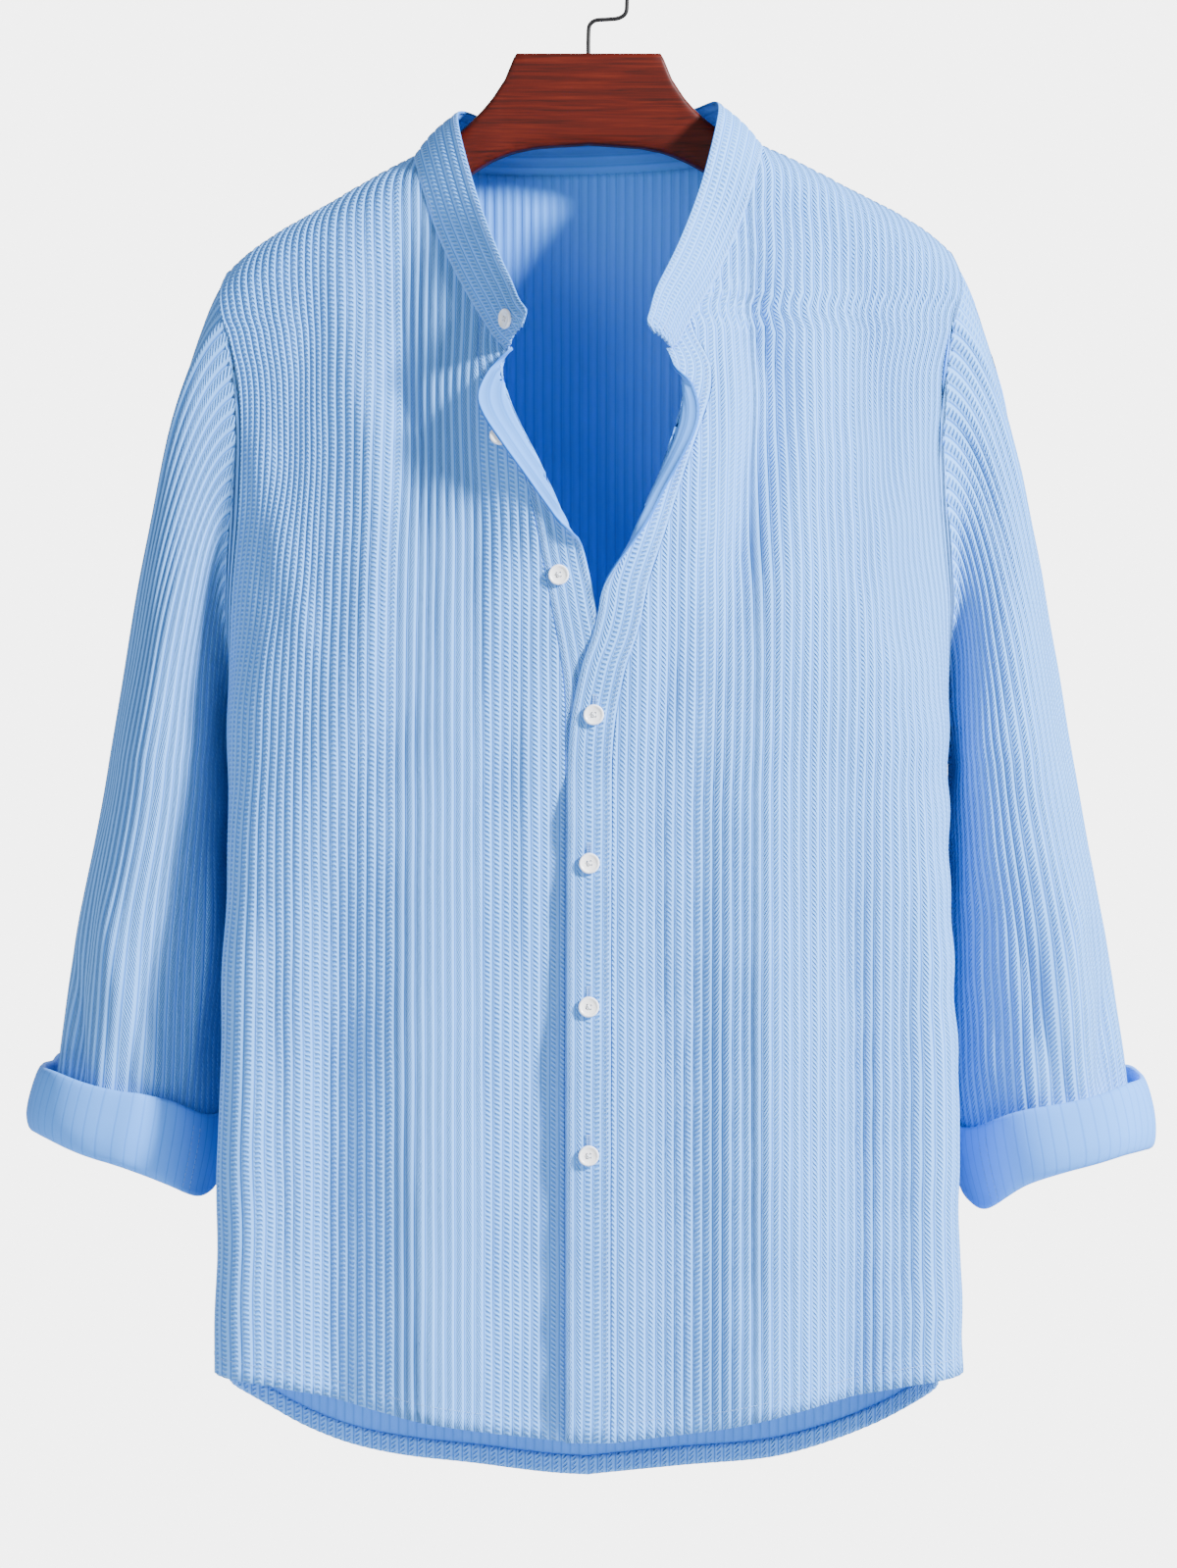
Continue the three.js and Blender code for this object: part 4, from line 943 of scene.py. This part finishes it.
def sleeveGrid(side):
    sign = -1 if side == "right" else 1
    turns = ribColumns(sleeve["ribs"], loop=True)
    at, over, away = armholeLoop(side, turns)
    under = ease(0.3, 0.47, np.minimum(turns, 1 - turns))
    start = at + away * sleeve["tuck"] + over * sleeve["under"]
    stop = sleeveRing(side, np.full(len(turns), float(sleeve["bicep"])), turns)
    span = np.linalg.norm(start - stop, axis=1, keepdims=True)
    swing = np.sin(math.tau * turns)
    mid = np.abs(swing)
    leave = np.stack(
        [sign * (0.5 + 0.5 * mid + 0.2 * under), -0.3 * swing, 0.45 * mid + 0.35 * under - 0.9], -1)
    leave = unit(unit(leave) + away) * span * (capPull["leave"] + capPull["leaveMore"] * mid)[:, None]
    arrive = unit(np.array([sign * 0.17, 0, -1.0])) * span * capPull["arrive"]
    t = (np.linspace(0, 1, sleeve["capRows"] + 1)[:-1] ** 1.2)[None, :, None]
    cap = (
        start[:, None] * (2 * t ** 3 - 3 * t ** 2 + 1) + leave[:, None] * (t ** 3 - 2 * t ** 2 + t)
        + stop[:, None] * (-2 * t ** 3 + 3 * t ** 2) + arrive[:, None] * (t ** 3 - t ** 2)
    )
    downs = np.linspace(sleeve["bicep"], tubeEnd[side], sleeve["tubeRows"] + 1)
    out = sum(o * ease(a, b, downs)[None] * bump(turns[:, None], where, reach)
              for where, reach, o, a, b in sleeveFolds)
    tube = sleeveRing(side, downs[None] + 0 * turns[:, None], turns[:, None], out)
    grid = np.concatenate([cap, tube], axis=1)
    normals = gridNormals(grid, loop=True) * sign
    around = turns[:, None] * sleeveAround
    rows = [(a * sleeveAround, b, c * sleeveAround, d, width, o) for a, b, c, d, width, o in sleeveCreases]
    relief = creaseOut(rows, around, -grid[..., 2])
    seed = 31 if side == "right" else 32
    faded = np.sin(np.pi * turns[:, None]) ** 0.5
    relief = relief + ripple(around, grid[..., 2], seed, 0.9, (48, 85)) * faded
    settle = ease(0, 0.12, np.linspace(0, 1, grid.shape[1]))[None]
    return grid + normals * (relief * settle)[..., None], turns


sleeveMade = {}
for side, sign in sides.items():
    points, turns = sleeveGrid(side)
    normals = gridNormals(points, loop=True) * sign
    shape = ribRelief(points.shape[0])[:, None, None]
    made = points + normals * (rib["valley"] + rib["body"] * shape)
    sleeveMade[side] = (made, normals, turns)
    flatU = np.repeat((turns * sleeve["ribs"] * rib["pitch"] * -sign)[:, None], points.shape[1], axis=1)
    middle = armMiddle["sleeve"] * sign * millimetre
    tube = clothPiece(
        "sleeve" + side.capitalize(), made, flatU, lengthsAlong(points, 1), middle, cloths, loop=True)
    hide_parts("sleeve_" + side)
print("sleeves made")

# Turned-up sleeve ends: the cloth folds at the bottom, climbs outside the sleeve and tucks in at the top

roll = dict(columns=120, rows=40, pleats=7)
rollDown = {"right": 673.5, "left": 680.5}
# how far outside the sleeve's own ring, and how far above its end
rollProfile = np.array([
    (1.4, 6), (1.4, -7), (2.6, -15), (6.5, -18.6), (10.8, -16.4), (13.6, -8), (15.0, 4), (14.6, 15),
    (13.4, 23), (11.8, 26.8), (9.8, 26.6), (8.8, 23), (8.6, 12),
], float)


# turn, share of the full drop of the lower edge there
rollDrop = {
    "right": [(0, 0.5), (0.25, 0.75), (0.42, 1.1), (0.5, 1.05), (0.75, 0.75), (1, 0.5)],
    "left": [(0, 0.85), (0.2, 0.6), (0.32, 0.7), (0.42, 1.12), (0.5, 1.0), (0.75, 0.8), (1, 0.85)],
}


def rollGrid(side):
    steps = runOf(rollProfile)
    even = np.linspace(0, steps[-1], roll["rows"])
    grow = through(np.column_stack([steps, rollProfile[:, 0]]))(even)
    rise = through(np.column_stack([steps, rollProfile[:, 1]]))(even)
    turns = np.arange(roll["columns"]) / roll["columns"]
    seed = 41 if side == "right" else 42
    rng = np.random.default_rng(seed)
    around = turns[:, None] * sleeveAround
    loosen = ease(3, 12, grow)[None]
    push = 0 * around
    for _ in range(roll["pleats"]):
        at, slant = rng.uniform(0, 1), rng.uniform(-0.0016, 0.0016)
        gap = (turns[:, None] - at - slant * rise[None] + 0.5) % 1 - 0.5
        push = push + rng.uniform(-3.2, 2.0) * np.exp(-((gap / rng.uniform(0.012, 0.03)) ** 2))
    circle = np.cos(math.tau * (turns[:, None] * 3 + 0.2)) + np.sin(math.tau * (turns[:, None] * 5 + 0.6))
    growAll = grow[None] + loosen * (push + 0.7 * circle)
    drop = through(rollDrop[side])(turns)[:, None]
    riseAll = rise[None] * np.where(rise < 0, drop, 1) + loosen * (1.4 * circle + 0.5 * push)
    return sleeveRing(side, rollDown[side] - riseAll, turns[:, None] + 0 * riseAll, growAll), turns


rollMade = {}
for side, sign in sides.items():
    points, turns = rollGrid(side)
    flatU = np.repeat((turns * sleeveAround)[:, None], points.shape[1], axis=1)
    middle = armMiddle["end"] * sign * millimetre
    end = clothPiece(
        "sleeveEnd" + side.capitalize(), points, flatU, lengthsAlong(points, 1), middle,
        [reverseCotton, faceCotton], loop=True)
    rollMade[side] = points
    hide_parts("sleeve_end_" + side)
print("turned-up ends made")

# Hems: the narrow turned band inside each lower edge

hem = dict(width=11, rows=5, below=1.0)  # "below" is how far under the face the band lies


def readFromEnd(values, length, fromEnd):  # values of each column at set lengths above its lower end
    left = length[:, -1:] - length
    return np.array([
        [np.interp(-fromEnd, -left[i], column[:, k]) for k in range(3)] for i, column in enumerate(values)])


def hemBand(name, panel, outwards):
    points = panel["points"]
    length = lengthsAlong(points, 1)
    share = np.linspace(hem["width"], seamGap, hem["rows"])
    band, facing = (
        readFromEnd(values, length, share).transpose(0, 2, 1) for values in (points, panel["out"]))
    band = band + facing * (reliefOf(panel)[:, -1:, None] - hem["below"])
    flatU = np.repeat(panel["flat"][:, -1:], hem["rows"], axis=1)
    flatV = np.repeat(share[None], points.shape[0], axis=0)
    cutAway = None if panel["cutAway"] is None else np.repeat(panel["cutAway"][:, -1:], hem["rows"], axis=1)
    piece = clothPiece(name, band, flatU, flatV, outwards, [faceCotton], thickness["hem"], cutAway=cutAway)


hemBand("hemRight", fronts["right"], frontward)
hemBand("hemLeft", fronts["left"], frontward)
hemBand("hemBack", back, backward)

# Stitches: short raised dashes of thread along a line of places on the cloth

stitch = dict(pitch=3.0, length=2.1, width=0.5, height=0.35)


def standing(along, facing):  # turn that lays x along the cloth and z off it
    aside = facing.cross(along).normalized()
    return Matrix((along, aside, aside.cross(along) * -1)).transposed().to_4x4()


def addBar(bm, base, at, size):
    sizes = Matrix.Diagonal((*(value * millimetre for value in size), 1))
    bmesh.ops.create_cube(bm, size=1, matrix=base @ Matrix.Translation(Vector(at) * millimetre) @ sizes)


def addStitches(bm, at, out):
    run = runOf(at)
    for k in range(int(run[-1] / stitch["pitch"])):
        middle = (k + 0.5) * stitch["pitch"]
        ends = [np.array([np.interp(middle + d, run, at[:, c]) for c in range(3)])
                for d in (-stitch["length"] / 2, stitch["length"] / 2)]
        facing = Vector([np.interp(middle, run, out[:, c]) for c in range(3)]).normalized()
        along = Vector(ends[1] - ends[0])
        if along.length < 0.5:
            continue
        along.normalize()
        centre = Matrix.Translation(Vector((ends[0] + ends[1]) / 2) * millimetre)
        size = [stitch[key] for key in ("length", "width", "height")]
        addBar(bm, centre @ standing(along, facing), (0, 0, 0), size)


def looseMesh(name, bm, material, smooth=False):
    bmesh.ops.recalc_face_normals(bm, faces=bm.faces)
    for face in bm.faces:
        face.smooth = smooth
    piece = objectFrom(bm, name)
    piece.data.materials.append(material)
    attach(piece, "root")
    return piece


bm = bmesh.new()
for made, panel in ((rightMade, fronts["right"]), (leftMade, fronts["left"]), (backMade, back)):
    length = lengthsAlong(made, 1)
    addStitches(bm, *(readFromEnd(values, length, hem["width"] - 1) for values in (made, panel["out"])))
for side in ("right", "left"):
    made, normals = placketMade[side]
    for i in (2, made.shape[0] - 3):
        addStitches(bm, made[i], normals[i])
for j in (2, collarMade.shape[0] - 3):
    addStitches(bm, collarMade[j], collarNormals[j])
for k in (3, collarMade.shape[1] - 4):
    addStitches(bm, collarMade[2:-2, k], collarNormals[2:-2, k])
for side, sign in sides.items():
    points = rollMade[side]
    normals = gridNormals(points, loop=True) * sign
    for column in (47, 49):
        addStitches(bm, points[column, 14:30], normals[column, 14:30])
looseMesh("seamStitches", bm, sewingThread)
print("stitches made")

# Buttons: turned discs with a raised rim and four holes, each sewn on with crossing threads

button = dict(
    hole=0.62, holeOut=1.35, lift=0.3, offPlacket=0.2, thread=0.36, threadRise=1.95, threadStep=0.3,
    shank=1.7, shankTop=1.5, shankTall=1.4, shankRise=-0.6,
)
# radius, height
buttonProfile = [
    (0, 0), (4.9, 0), (5.5, 0.35), (5.75, 1.1), (5.65, 1.8), (5.2, 2.25), (4.75, 2.25), (4.4, 2.0),
    (4.0, 1.72), (0, 1.7),
]


def place(at):
    return Matrix.Translation(Vector(at) * millimetre)


def addRod(bm, segments, low, high, depth, matrix):
    return bmesh.ops.create_cone(
        bm, cap_ends=True, segments=segments, radius1=low * millimetre, radius2=high * millimetre,
        depth=depth * millimetre, matrix=matrix)["verts"]


def buttonMesh():
    bm = bmesh.new()
    verts = [bm.verts.new((r * millimetre, 0, h * millimetre)) for r, h in buttonProfile]
    edges = [bm.edges.new(pair) for pair in zip(verts[:-1], verts[1:])]
    bmesh.ops.spin(
        bm, geom=verts + edges, cent=(0, 0, 0), axis=(0, 0, 1), angle=math.tau, steps=36, use_merge=True)
    bmesh.ops.remove_doubles(bm, verts=bm.verts, dist=1e-6)
    bmesh.ops.recalc_face_normals(bm, faces=bm.faces)
    disc = objectFrom(bm, "buttonDisc")
    drill = bmesh.new()
    for k in range(4):
        a = math.tau * (k + 0.5) / 4
        across = Vector((math.cos(a), math.sin(a), 0)) * button["holeOut"]
        addRod(drill, 14, button["hole"], button["hole"], 6, place((*across[:2], 1)))
    tool = objectFrom(drill, "buttonDrill")
    cut = disc.modifiers.new("holes", "BOOLEAN")
    cut.operation = "DIFFERENCE"
    cut.object = tool
    cut.solver = "EXACT"
    bpy.context.view_layer.update()
    done = bpy.data.meshes.new_from_object(disc.evaluated_get(bpy.context.evaluated_depsgraph_get()))
    for made in (disc, tool):
        bpy.data.objects.remove(made)
    return done


buttonBase = buttonMesh()


def sewnButton(name, node, at, out, spin):
    b = button
    turn = Vector((0, 0, 1)).rotation_difference(Vector(out)).to_matrix().to_4x4()
    bm = bmesh.new()
    bm.from_mesh(buttonBase)
    for k in range(2):  # two threads cross between opposite holes
        lying = Matrix.Rotation(math.tau * (2 * k + 1) / 8, 4, "Z") @ Matrix.Rotation(math.pi / 2, 4, "Y")
        rise = b["threadRise"] + b["threadStep"] * k
        bar = addRod(bm, 8, b["thread"], b["thread"], b["holeOut"] * 2, place((0, 0, rise)) @ lying)
        for face in {f for v in bar for f in v.link_faces}:
            face.material_index = 1
    addRod(bm, 12, b["shank"], b["shankTop"], b["shankTall"], place((0, 0, b["shankRise"])))
    whole = place(at + out * b["lift"]) @ turn @ Matrix.Rotation(spin, 4, "Z")
    bmesh.ops.transform(bm, matrix=whole, verts=bm.verts)
    piece = looseMesh(name, bm, buttonResin, smooth=True)
    piece.data.materials.append(buttonThread)
    edge = piece.modifiers.new("keepEdges", "EDGE_SPLIT")
    edge.split_angle = math.radians(40)
    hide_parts(node)


def surfaceOn(made, normals, across, down):
    i = round(across * (made.shape[0] - 1))
    column, facing = made[i], normals[i]
    order = np.argsort(-column[:, 2])
    at = np.array([np.interp(down, -column[order, 2], column[order, k]) for k in range(3)])
    out = np.array([np.interp(down, -column[order, 2], facing[order, k]) for k in range(3)])
    return at, unit(out)


# side, share across the placket, down, turn about its own axis
placketButtons = [
    ("right", 0.9, 281, 0.3), ("right", 0.3, 359, 0.1), ("left", 0.5, 436.5, 0.0), ("left", 0.5, 518.4, 0.2),
    ("left", 0.5, 597.6, -0.15), ("left", 0.5, 679.6, 0.1),
]
collarAt = (round(0.5 * (collarMade.shape[0] - 1)), round(collarMade.shape[1] / 40))
sewnButton("collarButton", "button_1", collarMade[collarAt], collarNormals[collarAt], 0.2)
for k, (side, across, down, spin) in enumerate(placketButtons):
    at, out = surfaceOn(*placketMade[side], across, down)
    at = at + out * button["offPlacket"]
    sewnButton("placketButton%d" % (k + 1), "button_%d" % (k + 2), at, out, spin)

# Buttonholes: a slit bordered with close stitches, its upper end showing above each closed button

buttonhole = dict(
    length=14.0, pitch=0.85, away=0.75, rise=0.1, past=1.2, above=3.5,
    stitch=(0.6, 1.1, 0.4), bar=(0.9, 2.8, 0.5),
)


def addButtonhole(bm, at, out, along):
    hole = buttonhole
    out, along = Vector(out).normalized(), Vector(along)
    along = (along - out * along.dot(out)).normalized()
    base = place(Vector(at) + out * hole["rise"]) @ standing(along, out)
    steps = round(hole["length"] / hole["pitch"])
    for k in range(steps + 1):
        for away in (-hole["away"], hole["away"]):
            addBar(bm, base, ((k / steps - 0.5) * hole["length"], away, hole["rise"]), hole["stitch"])
    for end in (-0.5, 0.5):
        addBar(bm, base, (end * (hole["length"] + hole["past"]), 0, hole["rise"]), hole["bar"])


bm = bmesh.new()
for side, across, down, spin in placketButtons[2:]:
    at, out = surfaceOn(*placketMade[side], across, down - buttonhole["above"])
    addButtonhole(bm, at, out, (0, 0, 1))
holeAt = (collarAt[0], collarMade.shape[1] - 1 - collarAt[1])
holeAlong = collarMade[holeAt[0], holeAt[1] - 3] - collarMade[holeAt]
addButtonhole(bm, collarMade[holeAt], collarNormals[holeAt], holeAlong)
looseMesh("buttonholeStitches", bm, sewingThread)
print("buttons and buttonholes made")

# Hanger: shaped mahogany bar and bent wire hook

# out, top, bottom, thickness, squareness of the section
hangerRows = [
    (0, 56.6, 108.4, 16, 7), (30, 56.6, 110.5, 16, 7), (41, 56.6, 112.8, 16, 7), (42.8, 59.5, 113.3, 16, 7),
    (47.7, 71.5, 115, 16, 7), (54.3, 81.5, 117.8, 16.5, 6), (64, 92.3, 123.4, 17, 5),
    (77, 102.8, 132.3, 19, 3), (98, 115, 147, 22, 2.2), (130, 131.8, 165, 27, 2), (160, 148, 181, 30, 2),
    (185, 162.5, 193, 29, 2), (197, 172.5, 197, 24, 2), (203, 180, 195, 12, 2),
]
hanger = dict(clear=1.3, ringPoints=44, straightHalf=55)  # the rows are joined by straight lines that far out
hook = dict(wire=2.4, radius=22, endTurn=3.3, into=13, ringPoints=14, steps=160)
hookBend = [(0, 46), (0.8, 41), (4, 38.6), (11, 38), (17.5, 37.2), (21.2, 34.4), (22, 28)]  # x, down


def hangerPoints():
    corner = [41, 42, 42.8, 45, 47.7, 51, 54.3]
    out = np.array([*np.arange(0, 40, 4.0), *corner, *np.arange(57, 200, 3.5), 200, 202, 203])
    x = np.concatenate([-out[:0:-1], out])
    top, bottom, thick, square = (
        np.interp(np.abs(x), [r[0] for r in hangerRows], [r[k] for r in hangerRows]) for k in (1, 2, 3, 4))
    beyond = np.abs(x) > hanger["straightHalf"]
    for k, values in ((1, top), (2, bottom), (3, thick)):
        values[beyond] = through(hangerRows, k)(np.abs(x))[beyond]
    tilt = body["lean"] * x * ease(50, 98, np.abs(x))
    a = math.tau * (np.arange(hanger["ringPoints"]) + 0.5) / hanger["ringPoints"]
    c, s = np.cos(a)[:, None], np.sin(a)[:, None]
    y = thick / 2 * np.sign(c) * np.abs(c) ** (2 / square)
    middle = tilt - (top + bottom) / 2 - hanger["clear"]
    z = middle + (bottom - top) / 2 * np.sign(s) * np.abs(s) ** (2 / square)
    return np.stack([x + 0 * y, y, z], -1)


def solidPiece(name, points, material, node):
    flat = np.zeros(points.shape[:2])
    piece = meshFromGrid(name, points, flat, flat, loop=True, capped=True)
    piece.data.materials.append(material)
    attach(piece, "root")
    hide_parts(node)
    return piece


bar = solidPiece("hangerBar", hangerPoints(), wood, "hanger_wood")
edges = bar.modifiers.new("keepEdges", "EDGE_SPLIT")
edges.split_angle = math.radians(38)


def hookPoints():
    top = hangerRows[0][1] + hanger["clear"]
    centreDown = hook["radius"] - hook["wire"] / 2
    path = [(0, top + hook["into"]), *hookBend]
    path += [
        (hook["radius"] * math.cos(a), centreDown - hook["radius"] * math.sin(a))
        for a in np.linspace(0, hook["endTurn"], 30)
    ]
    path = np.array(path, float)
    run = runOf(path)
    even = np.linspace(0, run[-1], hook["steps"])
    x, down = (through(np.column_stack([run, path[:, k]]))(even) for k in (0, 1))
    centre = np.stack([x, 0 * x, -down], -1)
    along = unit(np.gradient(centre, axis=0))
    inPlane = np.cross(along, np.array([0, 1.0, 0]))
    a = math.tau * np.arange(hook["ringPoints"]) / hook["ringPoints"]
    thin = np.sqrt(np.clip((run[-1] - even) / 1.2, 0.05, 1)) * hook["wire"] / 2
    ring = np.cos(a)[:, None, None] * inPlane[None] + np.sin(a)[:, None, None] * np.array([0, 1.0, 0])
    return centre[None] + ring * thin[None, :, None]


solidPiece("hangerHook", hookPoints(), wireEnamel, "hanger_hook")
print("hanger made")

# Stage: a pale floor, soft light from the front right and above, camera level with the shirt's middle

stageSizes = dict(
    floorDown=1.2, floorRadius=1.3, cameraAway=3.0, cameraDown=0.4746, viewTall=0.89544, sensor=24,
)


def addFloor():
    bm = bmesh.new()
    bmesh.ops.create_circle(bm, cap_ends=True, segments=96, radius=stageSizes["floorRadius"])
    bmesh.ops.translate(bm, verts=bm.verts, vec=(0, 0, -stageSizes["floorDown"]))
    floor = objectFrom(bm, "studioFloor")
    floor.data.materials.append(smallMaterial("palePaper", 0xE8E8E8, 0.9, 0.01))


addFloor()


def addLight(name, place, target, size, power, colour=(1, 1, 1)):
    light = bpy.data.lights.new(name, "AREA")
    light.shape = "DISK"
    light.size = size
    light.energy = power
    light.color = colour
    lamp = bpy.data.objects.new(name, light)
    lamp.location = place
    lamp.rotation_euler = (Vector(target) - Vector(place)).to_track_quat("-Z", "Y").to_euler()
    bpy.context.scene.collection.objects.link(lamp)


addLight("keyLight", (2.2, -1.5, 0.95), (0.0, 0, -0.42), 0.45, 390)
addLight("fillLight", (-1.6, -2.8, 0.1), (0, 0, -0.45), 1.8, 40)
addLight("backLight", (0.3, 2.6, 0.6), (0, 0, -0.45), 1.6, 60)

world = bpy.data.worlds.new("studioAir")
bpy.context.scene.world = world
world.use_nodes = True
air = world.node_tree
air.nodes.clear()
seen = addNode(air, "ShaderNodeLightPath").outputs["Is Camera Ray"]
lit, shown = (
    addNode(air, "ShaderNodeBackground", inputs={"Color": colour, "Strength": strength}).outputs[0]
    for colour, strength in (((0.93, 0.96, 1, 1), 0.6), (linear(0xF0F0F0), 6.0)))
both = addNode(air, "ShaderNodeMixShader", links={0: seen, 1: lit, 2: shown}).outputs[0]
addNode(air, "ShaderNodeOutputWorld", links={"Surface": both})

camera = bpy.data.cameras.new("shopCamera")
camera.sensor_fit = "VERTICAL"
camera.sensor_height = stageSizes["sensor"]
camera.lens = camera.sensor_height * stageSizes["cameraAway"] / stageSizes["viewTall"]
cameraObject = bpy.data.objects.new("shopCamera", camera)
cameraObject.location = (0, -stageSizes["cameraAway"], -stageSizes["cameraDown"])
cameraObject.rotation_euler = (math.pi / 2, 0, 0)
bpy.context.scene.collection.objects.link(cameraObject)
bpy.context.scene.camera = cameraObject
print("stage set")
